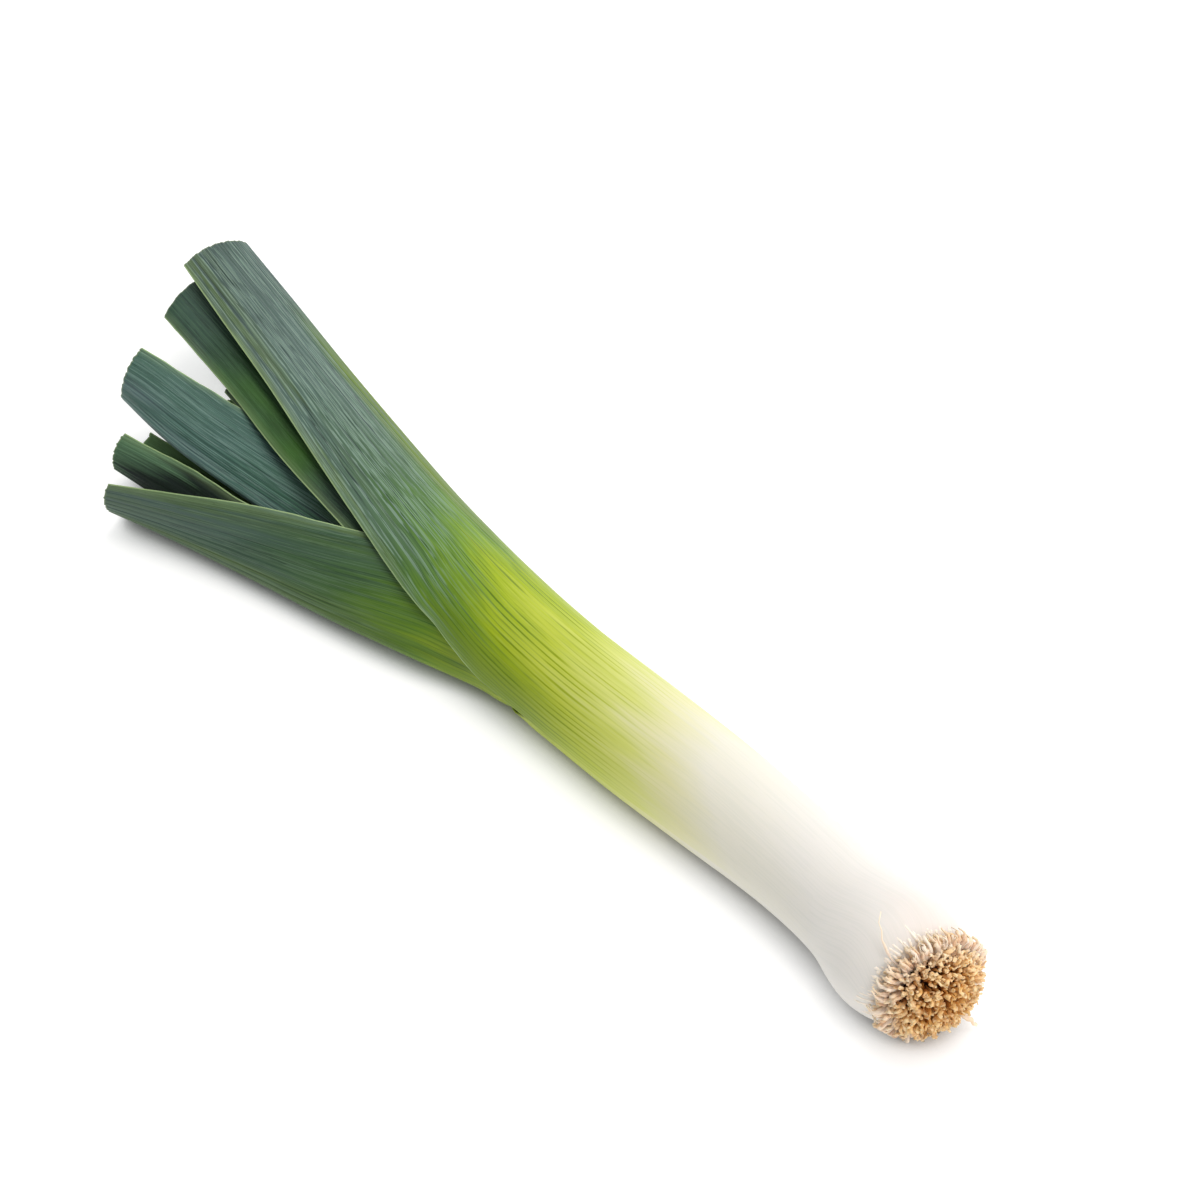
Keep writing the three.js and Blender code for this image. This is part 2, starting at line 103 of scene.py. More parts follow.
def waves(values: np.ndarray, seed: int, period: float, count: int = 5) -> np.ndarray:
    """A smooth, repeatable random curve made of a few sine waves.

    Args:
        values: where the curve is read.
        seed: which curve.
        period: length of its longest wave.
        count: number of waves, each shorter than the last.

    Returns:
        The curve's values, mostly between -1 and 1.
    """
    random = np.random.default_rng(seed)
    total = np.zeros_like(np.asarray(values, float))
    for k in range(count):
        length = period / (1.0 + 0.83 * k)
        total += np.sin(2 * np.pi * (values / length + random.random())) / (1.0 + 0.7 * k)
    return total / 1.6


def add_node(
    tree: bpy.types.NodeTree,
    kind: str,
    settings: dict[str, Any] | None = None,
    links: Sockets | None = None,
) -> bpy.types.Node:
    """Add a shader node with its settings, and link or set its inputs.

    Args:
        tree: the material's node tree.
        kind: the node's type name, without the "ShaderNode" before it.
        settings: properties of the node.
        links: for each input, an output socket to link or a value to set.

    Returns:
        The new node.
    """
    node = tree.nodes.new("ShaderNode" + kind)
    for name, value in (settings or {}).items():
        setattr(node, name, value)
    for name, value in (links or {}).items():
        if isinstance(value, bpy.types.NodeSocket):
            tree.links.new(value, node.inputs[name])
        else:
            node.inputs[name].default_value = value
    return node


class Recipe:
    """A material in the making, with a short method for each kind of node it uses."""

    def __init__(self, name: str) -> None:
        """Start an empty node material.

        Args:
            name: the material's name.
        """
        self.material = bpy.data.materials.new(name)
        self.material.use_nodes = True
        self.tree = self.material.node_tree
        self.tree.nodes.clear()

    def node(self, kind: str, output: str | int, settings: dict[str, Any], links: Sockets) -> Any:
        """Add a node and give one of its outputs."""
        return add_node(self.tree, kind, settings, links).outputs[output]

    def read(self, name: str) -> Any:
        """Read one of the mesh's point attributes."""
        return self.node("Attribute", "Fac", {"attribute_name": name}, {})

    def combine(self, operation: str, *terms: Any) -> Any:
        """The result of one sum on up to three numbers."""
        return self.node("Math", 0, {"operation": operation}, dict(enumerate(terms)))

    def times(self, *factors: Any) -> Any:
        """The product of two numbers or more.

        Args:
            factors: the numbers or sockets.

        Returns:
            A socket that holds their product.
        """
        product = factors[0]
        for factor in factors[1:]:
            product = self.combine("MULTIPLY", product, factor)
        return product

    def scaled(self, value: Any, factor: float, offset: Any) -> Any:
        """A number times a factor, plus an offset."""
        return self.combine("MULTIPLY_ADD", value, factor, offset)

    def fit(self, value: Any, span: Span, to: Span = (0.0, 1.0), curve: str = "SMOOTHSTEP") -> Any:
        """Ease a number from one range to another.

        Args:
            value: the number.
            span: the values at which the result starts and stops changing.
            to: the results there.
            curve: the kind of easing.

        Returns:
            A socket that holds the result.
        """
        links = {"Value": value, "From Min": span[0], "From Max": span[1], "To Min": to[0], "To Max": to[1]}
        return self.node("MapRange", "Result", {"interpolation_type": curve}, links)

    def mix(self, factor: Any, colour: Any, other: Any) -> Any:
        """Mix a colour with another, which is a socket or an sRGB hex colour."""
        other = linear(other) if isinstance(other, str) else other
        return self.node("Mix", 2, {"data_type": "RGBA"}, {0: factor, 6: colour, 7: other})

    def ramp(self, position: Any, stops: Sequence[tuple[float, str]]) -> Any:
        """Read a colour ramp.

        Args:
            position: where it is read, from 0 to 1.
            stops: position from 0 to 1 and sRGB hex colour of each stop.

        Returns:
            The colour's socket.
        """
        node = add_node(self.tree, "ValToRGB", {}, {"Fac": position})
        elements = node.color_ramp.elements
        while len(elements) < len(stops):
            elements.new(0.5)
        for element, (spot, colour) in zip(elements, stops):
            element.position = spot
            element.color = linear(colour)
        return node.outputs["Color"]

    def finish(self, sockets: dict[str, Any]) -> bpy.types.Material:
        """Close the tree with a surface shader that has these inputs.

        Args:
            sockets: the shader's inputs.

        Returns:
            The finished material.
        """
        surface = self.node("BsdfPrincipled", "BSDF", {}, sockets)
        add_node(self.tree, "OutputMaterial", {}, {"Surface": surface})
        return self.material


@dataclass
class MeshPlan:
    """Points, faces and named numbers of a mesh while it is being made, in millimetres."""

    points: list[np.ndarray] = field(default_factory=list)
    faces: list[tuple[int, ...]] = field(default_factory=list)
    numbers: dict[str, list[np.ndarray]] = field(default_factory=dict)
    count: int = 0

    def add_points(self, points: np.ndarray, numbers: dict[str, np.ndarray]) -> np.ndarray:
        """Add points with their named numbers.

        Args:
            points: array of any shape whose last axis is x, y, z.
            numbers: for each name, one number for each point.

        Returns:
            The points' indices, in the shape of the array.
        """
        flat = points.reshape(-1, 3)
        ids = np.arange(self.count, self.count + len(flat)).reshape(points.shape[:-1])
        self.points.append(flat)
        self.count += len(flat)
        for name, values in numbers.items():
            self.numbers.setdefault(name, []).append(np.broadcast_to(values, ids.shape).reshape(-1))
        return ids

    def add_quads(self, a: np.ndarray, b: np.ndarray, c: np.ndarray, d: np.ndarray) -> None:
        """Add a four-sided face for each set of four indices, three-sided where two are the same.

        Args:
            a, b, c, d: the corners of the faces, in order.
        """
        for quad in zip(a.ravel().tolist(), b.ravel().tolist(), c.ravel().tolist(), d.ravel().tolist()):
            corners = tuple(dict.fromkeys(quad))
            if len(corners) > 2:
                self.faces.append(corners)

    def build(self, name: str, material: bpy.types.Material) -> bpy.types.Object:
        """Make the object.

        Args:
            name: the piece's name.
            material: its finish.

        Returns:
            The object, smooth shaded, with its numbers as point attributes.
        """
        points = np.concatenate(self.points)
        used = np.zeros(len(points), bool)
        for face in self.faces:
            used[list(face)] = True
        renumber = np.cumsum(used) - 1
        mesh = bpy.data.meshes.new(name)
        faces = [tuple(int(renumber[i]) for i in face) for face in self.faces]
        mesh.from_pydata((points[used] * MM).tolist(), [], faces)
        for key, parts in self.numbers.items():
            attribute = mesh.attributes.new(key, "FLOAT", "POINT")
            attribute.data.foreach_set("value", np.concatenate(parts)[used].astype(np.float32))
        mesh.polygons.foreach_set("use_smooth", np.ones(len(faces), bool))
        mesh.materials.append(material)
        mesh.validate()
        piece = bpy.data.objects.new(name, mesh)
        bpy.context.scene.collection.objects.link(piece)
        return piece


# ------------------------------------------------------------------ finishes


class Slot(Enum):
    """The record's material slots."""

    SHANK = "shank_skin"
    GREEN = "leaf_green"
    DARK = "leaf_dark_green"
    BLUE = "leaf_blue_green"
    ROOT = "dried_root"


@dataclass(frozen=True)
class LeafSkin:
    """Living leek leaf: a smooth waxy skin over parallel veins.

    The wax gives the eye a soft, broad shine and a grey-blue bloom. The veins show as fine broken
    lines, dark in the grooves and pale where the wax is rubbed, that run the whole length.
    """

    name: str
    # along in mm, and the colours there: between the grooves and in them
    colours: tuple[tuple[float, str, str], ...]
    margin: str = "a9c389"
    dried_cut: str = "93a878"
    inside: str = "6f9058"
    inside_amount: float = 0.5
    bloom: str = "8d9ca4"
    bloom_amount: float = 0.2
    rubbed: str = "a9bfae"
    rubbed_amount: float = 0.3
    patch: str = "4f7a1c"
    patch_amount: float = 0.0
    keel_line: str = "647c18"
    keel_amount: float = 0.0
    ridge_line: str = "2c4a0a"
    side_amount: float = 0.0
    # deep lime beside the front margin: partly the leaf's own colour, partly painted shade
    deep: str = "5f7a00"
    deep_lime_and_shade_amount: float = 0.0
    roughness: float = 0.42
    shine: float = 0.22
    seed: float = 0.0

    def build(self) -> bpy.types.Material:
        """Make the node material.

        Returns:
            The material, which reads the leaf's point attributes.
        """
        return LeafRecipe(self).build()


class LeafRecipe(Recipe):
    """The nodes of a leaf's skin.

    A pair of numbers beside a noise says where its blotches begin to show and where they are
    full. The other pairs are places on the leaf, in the unit that their comment gives.
    """

    RAMP_LENGTH = 460.0  # mm, the length that the colours cover

    # Places along the leaf, in mm from the basal plate.
    COLOURS_STRAY = (90.0, 150.0)
    RELIEF_SHOWS = (90.0, 240.0)
    VEINS_SHOW = (96.0, 150.0)
    GRAIN_SHOWS = (100.0, 230.0)
    DEEP_STARTS, DEEP_ENDS = (140.0, 185.0), (268.0, 232.0)
    TURNS_GREEN = (190.0, 262.0)
    LEAF_OPENS = (192.0, 210.0)
    RIDGE_STARTS, RIDGE_NARROWS, RIDGE_ENDS = (186.0, 206.0), (205.0, 250.0), (300.0, 262.0)
    KEEL_STARTS, KEEL_ENDS = (212.0, 240.0), (400.0, 340.0)
    RUB_SHOWS = (215.0, 275.0)
    SIDE_STARTS = (225.0, 260.0)
    BLOOM_SHOWS = (240.0, 310.0)
    PATCH_STARTS, PATCH_ENDS = (285.0, 325.0), (405.0, 362.0)

    # Places across the leaf, in veins from the keel.
    KEEL_SIDE, RIDGE_FRONT, RIDGE_BACK, NARROWING = (9.5, 5.5), (6.4, 4.6), (2.4, 3.8), (0.0, 4.0)
    # Places across the leaf, in mm from a free margin.
    SIDE_WIDTH, BAND_WIDTH, LINE_WIDTH = (14.0, 3.0), (4.0, 0.5), (0.6, 0.25)
    DRIED_WIDTH = (0.8, 0.2)  # mm from the cut
    DEEP_SIDE = (15.0, 31.0)  # mm by which the green comes early
    IN_FRONT = (0.6, 0.2)  # from the far half's number to the near half's

    def __init__(self, skin: LeafSkin) -> None:
        """Start the material with the mesh's numbers and the noises drawn along the veins.

        Args:
            skin: the leaf's finish.
        """
        super().__init__(skin.name)
        self.skin = skin
        self.along, self.vein, self.edge = self.read("along"), self.read("vein"), self.read("edge")
        self.cut, self.face = self.read("cut"), self.read("face")
        self.early, self.behind = self.read("early"), self.read("behind")
        self.fine = self.streaks(0.5, 16.0, 2.0, 0.0)  # hair lines, about 0.6 mm apart
        self.thread = self.streaks(0.8, 40.0, 2.0, 11.0)  # about 1 mm apart
        self.broad = self.streaks(5.0, 55.0, 1.0, 23.0)
        self.spread = self.streaks(11.0, 80.0, 1.0, 37.0)

    def streaks(self, across: float, length: float, detail: float, which: float) -> Any:
        """Noise drawn out along the fibres.

        Args:
            across: width of its blotches, counted in veins.
            length: length of its blotches in mm.
            detail: octaves of finer noise.
            which: which noise.

        Returns:
            A socket from 0 to 1.
        """
        x, y = self.times(self.vein, 1.0 / across), self.times(self.along, 1.0 / length)
        at = self.node("CombineXYZ", 0, {}, {0: x, 1: y, 2: self.skin.seed * 7.3 + which})
        links = {"Vector": at, "Scale": 1.0, "Detail": detail, "Roughness": 0.5}
        return self.node("TexNoise", "Fac", {}, links)

    def lines(self, across: float, length: float, shows: Span, which: float) -> Any:
        """Straight lines along the veins, broken here and there.

        Args:
            across: their width, counted in veins.
            length: length of their pieces in mm.
            shows: where they begin to show and are full, on the noise that draws them.
            which: which lines.

        Returns:
            A socket from 0 to 1.
        """
        straight = self.fit(self.streaks(across, 900.0, 1.0, which), shows)
        pieces = self.fit(self.streaks(1.6 * across, length, 1.0, which + 3.0), (0.4, 0.56))
        return self.times(straight, pieces)

    def grooves(self) -> Any:
        """How far down in a groove each point lies, from 0 to 1.

        Returns:
            A socket that is 0 on the ridges.
        """
        green = self.fit(self.along, self.TURNS_GREEN)
        # Even veins in the yellow-green part, a little off their even places.
        drift, broken = self.streaks(3.0, 110.0, 1.0, 17.0), self.streaks(2.0, 36.0, 1.0, 41.0)
        phase = self.times(self.scaled(drift, 1.5, self.vein), 2 * math.pi)
        even = self.fit(self.combine("COSINE", phase), (0.3, 1.0))
        even = self.times(even, self.fit(broken, (0.36, 0.6), (0.25, 1.0)), self.scaled(green, -0.7, 1.0))
        even = self.times(even, self.fit(self.along, self.VEINS_SHOW, (0.12, 1.0)))
        # Thin broken dark lines in the green part, and a few long narrow furrows.
        dark = self.times(self.lines(0.34, 32.0, (0.5, 0.59), 61.0), 0.78)
        furrow = self.lines(0.62, 64.0, (0.55, 0.63), 71.0)
        furrow = self.times(furrow, self.fit(self.broad, (0.38, 0.56), (0.5, 1.0)))
        depth = self.combine("MAXIMUM", even, self.times(self.combine("MAXIMUM", dark, furrow), green))
        grain = self.combine("SUBTRACT", self.fit(self.fine, (0.4, 0.6)), 0.45)
        grain = self.times(grain, self.fit(self.along, self.GRAIN_SHOWS, (0.12, 0.36)))
        depth = self.combine("SUBTRACT", depth, grain)
        return self.combine("MAXIMUM", self.combine("MINIMUM", depth, 1.0), 0.0)

    def stray(self) -> Any:
        """The place along the colours, further on some fibres than on others.

        Returns:
            A socket in mm from the basal plate.
        """
        broad, thin = self.scaled(self.broad, 44.0, -22.0), self.scaled(self.thread, 36.0, -18.0)
        shift = self.combine("ADD", broad, thin)
        shift = self.times(shift, self.fit(self.along, self.COLOURS_STRAY, (0.25, 1.0)))
        return self.combine("ADD", self.combine("ADD", self.along, shift), self.early)

    def waxed(self, colour: Any, place_on_ramp: Any) -> Any:
        """Add a grey bloom in drawn-out patches, pale lines where it is rubbed, and brighter green patches.

        Args:
            colour: the colour so far.
            place_on_ramp: what stray() gave.

        Returns:
            The new colour.
        """
        skin = self.skin
        wax = self.times(self.fit(self.spread, (0.38, 0.64)), self.fit(place_on_ramp, self.BLOOM_SHOWS))
        colour = self.mix(self.times(wax, skin.bloom_amount), colour, skin.bloom)
        pale = self.combine(
            "MAXIMUM", self.lines(0.26, 18.0, (0.49, 0.6), 53.0), self.lines(0.36, 9.0, (0.54, 0.64), 83.0)
        )
        pale = self.times(pale, self.fit(place_on_ramp, self.RUB_SHOWS, (0.12, 1.0)))
        colour = self.mix(self.times(pale, skin.rubbed_amount), colour, skin.rubbed)
        if skin.patch_amount:
            brighter_patch = self.times(self.fit(self.spread, (0.42, 0.6), (0.35, 1.0)), skin.patch_amount)
            ends = self.fit(self.along, self.PATCH_STARTS), self.fit(self.along, self.PATCH_ENDS)
            colour = self.mix(self.times(brighter_patch, *ends), colour, skin.patch)
        return colour

    def marked(self, colour: Any, place_on_ramp: Any) -> Any:
        """Add deep lime beside the front margin, partly the leaf's own colour and partly painted shade, and
        the olive streaks and dark line of the keel.

        Args:
            colour: the colour so far.
            place_on_ramp: what stray() gave.

        Returns:
            The new colour.
        """
        skin, along = self.skin, self.along
        # Deep lime near the front margin: partly the leaf's own colour, partly painted shade.
        deep = self.times(self.fit(self.early, self.DEEP_SIDE), self.fit(along, self.DEEP_STARTS))
        deep = self.times(deep, self.fit(place_on_ramp, self.DEEP_ENDS, (0.0, skin.deep_lime_and_shade_amount)))
        colour = self.mix(deep, colour, skin.deep)

        worn = self.streaks(0.5, 60.0, 1.0, 91.0)
        on_keel = self.times(self.fit(self.vein, self.KEEL_SIDE), self.fit(along, self.KEEL_STARTS))
        on_keel = self.times(on_keel, self.fit(along, self.KEEL_ENDS))
        on_keel = self.times(on_keel, self.fit(worn, (0.34, 0.56), (0.35, 1.0)))
        beside = self.times(
            self.fit(self.edge, self.SIDE_WIDTH),
            self.fit(along, self.SIDE_STARTS, (0.0, skin.side_amount)),
            self.fit(self.streaks(2.4, 60.0, 2.0, 97.0), (0.4, 0.6)),
        )
        olive = self.combine("MAXIMUM", beside, self.times(on_keel, skin.keel_amount))
        colour = self.mix(olive, colour, skin.keel_line)

        ahead = self.combine("ADD", self.vein, self.fit(along, self.RIDGE_NARROWS, self.NARROWING))
        ridge = self.times(
            self.fit(ahead, self.RIDGE_FRONT),
            self.fit(ahead, self.RIDGE_BACK),
            self.fit(along, self.RIDGE_STARTS, (0.0, skin.keel_amount)),
            self.fit(along, self.RIDGE_ENDS),
            self.fit(self.behind, self.IN_FRONT),
            self.fit(worn, (0.36, 0.6), (0.1, 0.7)),
        )
        return self.mix(ridge, colour, skin.ridge_line)

    def edged(self, colour: Any) -> Any:
        """Add a thin pale margin with a faint band behind it, the inner face and a dried line at the cut.

        Args:
            colour: the colour so far.

        Returns:
            The new colour.
        """
        skin = self.skin
        opened = self.fit(self.along, self.LEAF_OPENS)
        for width, amount in ((self.BAND_WIDTH, 0.14), (self.LINE_WIDTH, 0.7)):
            colour = self.mix(self.times(self.fit(self.edge, width), opened, amount), colour, skin.margin)
        colour = self.mix(self.times(self.face, skin.inside_amount), colour, skin.inside)
        return self.mix(self.fit(self.cut, self.DRIED_WIDTH, (0.0, 0.5)), colour, skin.dried_cut)

    def build(self) -> bpy.types.Material:
        """Make the node material.

        Returns:
            The material, which reads the leaf's point attributes.
        """
        skin, depth, place_on_ramp = self.skin, self.grooves(), self.stray()
        position = self.combine("DIVIDE", place_on_ramp, self.RAMP_LENGTH)
        ridge, groove = (
            self.ramp(position, [(row[0] / self.RAMP_LENGTH, row[side]) for row in skin.colours])
            for side in (1, 2)
        )
        colour = self.mix(depth, ridge, groove)
        colour = self.edged(self.marked(self.waxed(colour, place_on_ramp), place_on_ramp))

        height = self.scaled(self.fine, 0.6, self.times(depth, -1.0))
        strength = self.fit(self.along, self.RELIEF_SHOWS, (0.03, 0.5))
        links = {"Strength": strength, "Distance": 0.12 * MM, "Height": height}
        return self.finish(
            {
                "Base Color": colour,
                "Roughness": self.scaled(self.fine, 0.16, skin.roughness - 0.08),
                "Normal": self.node("Bump", "Normal", {}, links),
                "IOR": 1.42,
                "Specular IOR Level": skin.shine,
                "Subsurface Weight": 0.06,
                "Subsurface Radius": (1.0, 0.9, 0.45),
                "Subsurface Scale": 1.4 * MM,
            }
        )


SHANK_SKIN = LeafSkin(
    name="outer_leaf_skin",
    colours=(
        (0, "e2d8d1", "ddd3cb"), (24, "e3dfd9", "dfd7d0"), (60, "e3e0d9", "e1ded7"),
        (104, "e1dece", "dedbcb"), (128, "dbd8a8", "d2d290"), (152, "cbd074", "b1ba44"),
        (182, "b6c142", "87990e"), (210, "9db01e", "667f06"), (236, "749528", "42660e"),
        (256, "587d32", "294d16"), (280, "45663a", "213e22"), (310, "4a664d", "22392b"),
        (320, "4a654f", "22372e"), (360, "4a6357", "21362d"), (400, "41574d", "1f342c"),
        (445, "3c5148", "21332c"),
    ),
    rubbed="8fa999",
    rubbed_amount=0.48,
    bloom_amount=0.08,
    keel_amount=0.85,
    side_amount=0.32,
    deep_lime_and_shade_amount=0.66,
    inside="5f7c44",
    seed=1.0,
)
OUTER_LEFT_SKIN = LeafSkin(
    name="outer_left_leaf_skin",
    colours=(
        (180, "b6c03e", "92a220"), (205, "889c20", "5f7812"), (230, "5e7e24", "386018"),
        (258, "436234", "274520"), (300, "3a5542", "233a2b"), (400, "3b5246", "263b31"),
    ),
    bloom_amount=0.1,
    rubbed="748f72",
    keel_amount=0.3,
    side_amount=0.2,
    deep_lime_and_shade_amount=0.66,
    seed=2.0,
)
RIGHT_INNER_SKIN_PAINTED_SHADE = LeafSkin(
    name="right_inner_leaf_skin_painted_shade",
    # From 280 on, the leaf's own dark green is darkened further: painted shade of the outermost leaf's shadow
    # on it.
    colours=(
        (180, "cdd690", "b2bf60"), (215, "869e38", "607a1e"), (245, "40621e", "264614"),
        (280, "223e18", "132b10"), (340, "1c3222", "102217"), (450, "365140", "1d3427"),
    ),
    patch="40700a",
    patch_amount=0.6,
    bloom_amount=0.06,
    rubbed="567858",
    shine=0.14,
    seed=3.0,
)
LEFT_MIDDLE_SKIN_PAINTED_SHADE = LeafSkin(
    name="left_middle_leaf_painted_shade",
    # From 280 to 370, the leaf's dark green and the lines on it are painted near black: painted shade of the
    # leaf that lies over it. The tip at 392 keeps its own green.
    colours=(
        (180, "cdd690", "b2bf60"), (215, "7d943c", "587420"), (245, "34522a", "203a18"),
        (280, "101e12", "0b150d"), (370, "112015", "0b160f"), (392, "567656", "36513a"),
    ),
    bloom_amount=0.04,
    rubbed="25392a",
    shine=0.08,
    seed=4.0,
)
LEFT_INNER_SKIN = LeafSkin(
    name="left_inner_leaf_skin",
    colours=(
        (180, "cdd690", "b2bf60"), (225, "86a348", "668a2a"), (260, "4a7040", "2f562a"),
        (300, "3e6450", "264339"), (350, "406156", "26433c"), (430, "486759", "2d493f"),
    ),
    bloom="7f8898",
    bloom_amount=0.28,
    rubbed="88a49c",
    rubbed_amount=0.36,
    seed=5.0,
)
HEART_SKIN = LeafSkin(
    name="heart_leaf_skin",
    colours=(
        (180, "dadfae", "c9d183"), (230, "b0c464", "94ad44"), (275, "6f9046", "54782c"),
        (330, "456c3a", "2e5028"), (380, "355234", "253e28"),
    ),
    bloom_amount=0.04,
    seed=6.0,
)


@dataclass(frozen=True)
class DriedRoot:
    """Cut and dried leek roots: hollow, corky stubs.

    They give the eye a dull straw colour, cream at the cut tips and brown deep between them.
    """

    name: str = "dried_root_fibre"
    stops: tuple[tuple[float, str], ...] = (
        (0.0, "2c1407"), (0.24, "6e3c16"), (0.46, "b87630"), (0.68, "dfae68"), (1.0, "f6dcae"),
    )
    pale: str = "faefe0"
    orange: str = "d48a3a"
    tint_shift: float = 0.34  # how far the roots differ, on the ramp
    grain_shift: float = 0.4
    grain_scale: float = 900.0  # blotches of about 1 mm, a few to a root
    orange_roots: Span = (0.62, 1.0)  # the tints that turn orange

    def build(self) -> bpy.types.Material:
        """Make the node material.

        Returns:
            The material, which reads the strands' point attributes.
        """
        recipe = Recipe(self.name)
        tip, tint, rim = recipe.read("tip"), recipe.read("tint"), recipe.read("rim")
        at = recipe.node("TexCoord", "Object", {}, {})
        grain = recipe.node("TexNoise", "Fac", {}, {"Vector": at, "Scale": self.grain_scale, "Detail": 3.0})
        position = recipe.combine("ADD", recipe.scaled(tint, self.tint_shift, -self.tint_shift / 2), tip)
        grainy = recipe.scaled(grain, self.grain_shift, -self.grain_shift / 2)
        colour = recipe.ramp(recipe.combine("ADD", position, grainy), self.stops)
        colour = recipe.mix(recipe.fit(tint, self.orange_roots, (0.0, 0.45), "LINEAR"), colour, self.orange)
        links = {"Strength": 0.5, "Distance": 0.15 * MM, "Height": grain}
        return recipe.finish(
            {
                "Base Color": recipe.mix(rim, colour, self.pale),
                "Roughness": 0.78,
                "Normal": recipe.node("Bump", "Normal", {}, links),
                "Specular IOR Level": 0.25,
                "Subsurface Weight": 0.1,
                "Subsurface Radius": (1.0, 0.7, 0.4),
                "Subsurface Scale": 0.6 * MM,
            }
        )


@dataclass(frozen=True)
class PaleTable:
    """A pale floor with a painted glow: it glows where nothing stands near it, which paints a narrow shadow
    round the leek.
    """

    name: str = "pale_floor_painted_glow"
    colour: str = "c4c4c3"
    glow: float = 0.6
    glows: Span = (0.14, 0.56)  # shares of open sky at which the glow starts and is full
    reach: float = 32.0  # mm within which things keep the glow away

    def build(self) -> bpy.types.Material:
        """Make the node material.

        Returns:
            The material.
        """
        recipe = Recipe(self.name)
        open_to = recipe.node("AmbientOcclusion", "AO", {"samples": 12}, {"Distance": self.reach * MM})
        return recipe.finish(
            {
                "Base Color": linear(self.colour),
                "Roughness": 0.85,
                "Specular IOR Level": 0.15,
                "Emission Color": linear("ffffff"),
                # Painted glow and painted shadow: the floor emits light, and less of it where ambient
                # occlusion finds the leek close.
                "Emission Strength": recipe.fit(open_to, self.glows, (0.0, self.glow)),
            }
        )


# ------------------------------------------------------------------ the leek's outline


@dataclass(frozen=True)
class Outline:
    """The shank's outline: an ellipse at each distance along it."""

    # along, sideways centre, half width, half height, height of the centre
    stations: tuple[tuple[float, ...], ...] = (
        (-1.8, -1.2, 13.5, 13.5, 19.9),
        (1.2, -1.0, 17.6, 17.6, 19.9),
        (6.5, -0.5, 19.7, 19.7, 19.9),
        (14, 0.2, 20.4, 20.4, 20.0),
        (22, 1.4, 19.5, 19.5, 19.6),
        (34, 3.7, 17.7, 17.7, 19.0),
        (50, 6.0, 17.4, 17.4, 18.6),
        (70, 7.6, 17.8, 17.7, 18.3),
        (100, 8.5, 19.2, 18.8, 18.2),
        (135, 8.8, 20.0, 19.3, 18.2),
        (165, 9.4, 19.9, 19.2, 18.1),
        (190, 9.8, 19.9, 19.3, 18.4),
        (215, 10.1, 20.4, 19.8, 19.0),
    )
    fan_roll: float = 15.0  # degrees by which the plane of the keels is rolled up
    base_turn: float = 12.0  # degrees by which the basal end looks aside
    base_turn_length: float = 60.0

    def at(self, along: float) -> np.ndarray:
        """Read the outline on a smooth curve through its stations.

        Args:
            along: distance from the basal plate.

        Returns:
            Sideways centre, half width, half height and height of the centre.
        """
        table = np.array(self.stations)
        last = len(table) - 2
        i = int(np.clip(np.searchsorted(table[:, 0], along, side="left") - 1, 0, last))
        p, q = table[i], table[i + 1]
        before, after = table[max(i - 1, 0)], table[min(i + 2, len(table) - 1)]
        span = q[0] - p[0]
        f = (along - p[0]) / span
        slope_in = (q - before)[1:] / (q[0] - before[0]) * span
        slope_out = (after - p)[1:] / (after[0] - p[0]) * span
        return (
            (2 * f**3 - 3 * f**2 + 1) * p[1:]
            + (f**3 - 2 * f**2 + f) * slope_in
            + (3 * f**2 - 2 * f**3) * q[1:]
            + (f**3 - f**2) * slope_out
        )

    def on_skin(self, along: float, angle: float, lift: float) -> np.ndarray:
        """A point on the outline.

        Args:
            along: distance from the basal plate, before the section is turned aside.
            angle: from the +Y side towards the top, in radians.
            lift: how far above the skin.

        Returns:
            The point, in millimetres.
        """
        side, wide, high, height = self.at(along)
        y, z = (wide + lift) * math.cos(angle), (high + lift) * math.sin(angle)
        return place(along - y * math.tan(self.turn(along)), side + y, height + z)

    def turn(self, along: float) -> float:
        """The angle by which the section is turned aside, in radians."""
        return math.radians(self.base_turn) * (1.0 - float(smoothstep(along, 0.0, self.base_turn_length)))


OUTLINE = Outline()


# ------------------------------------------------------------------ leaves

Triple = tuple[float, float, float]
Station = tuple[Triple, Triple, Triple, float, float, float]

# A row of a leaf's control numbers: keel, front margin, back margin, the handles of its two
# halves, how flat-topped it is, and 0 where it is a closed tube or 1 where it is an open blade.
KEEL, FRONT, BACK = slice(0, 3), slice(3, 6), slice(6, 9)
FRONT_HANDLE, BACK_HANDLE, FLAT, OPEN = slice(9, 12), slice(12, 15), 15, 16
ROW_LENGTH = 17
BULGE = 4.0 / 3.0  # a cubic curve's handle for a bulge of 1
NO_EDGE = 30.0  # the distance to a free margin where the leaf is still a tube
THINNEST_FOOT = 0.6  # thickness kept above the surface


@dataclass(frozen=True)
class Relief:
    """The fine relief of a leaf's surface, in millimetres."""

    veins: int = 33  # across each half
    straight: float = 28.0  # length over which the veins' spacing is evened out
    early: float = 32.0  # how much further down the green reaches at the margins
    early_behind: float = 0.6  # share of it behind the keel
    early_spread: Span = (0.3, 1.0)  # shares of a half between which it grows
    lead: float = 14.0  # and how much further down the yellow-green reaches at the keel
    lead_spread: Span = (0.0, 0.4)  # shares of a half between which it fades
    lead_ends: Span = (175.0, 225.0)  # and along the leaf
    groove: float = 0.07  # depth of the fine grooves
    groove_starts: Span = (110.0, 170.0)
    main_groove: float = 0.16  # depth of every third groove in the blade
    main_starts: Span = (205.0, 275.0)
    ripple: float = 0.35  # how far a free margin waves
    ripple_length: float = 46.0
    ripple_width: float = 5.0  # how far it reaches in from the margin
    ripple_offset: float = 40.0  # between the two margins' waves
    teeth: float = 0.45  # how ragged the cut end is
    tooth_width: float = 5.3  # in veins
    tooth_length: float = 7.0  # how far the teeth reach from the cut
    vein_teeth: float = 0.14  # share of them that stands on the veins
    bow_length: float = 40.0  # how far the bow of a cut end reaches
    keel_width: float = 0.06  # share of a half over which the keel is rounded
    thickness: float = 1.3
    margin_thickness: float = 0.55
    taper: float = 6.0  # from the margin to the full thickness


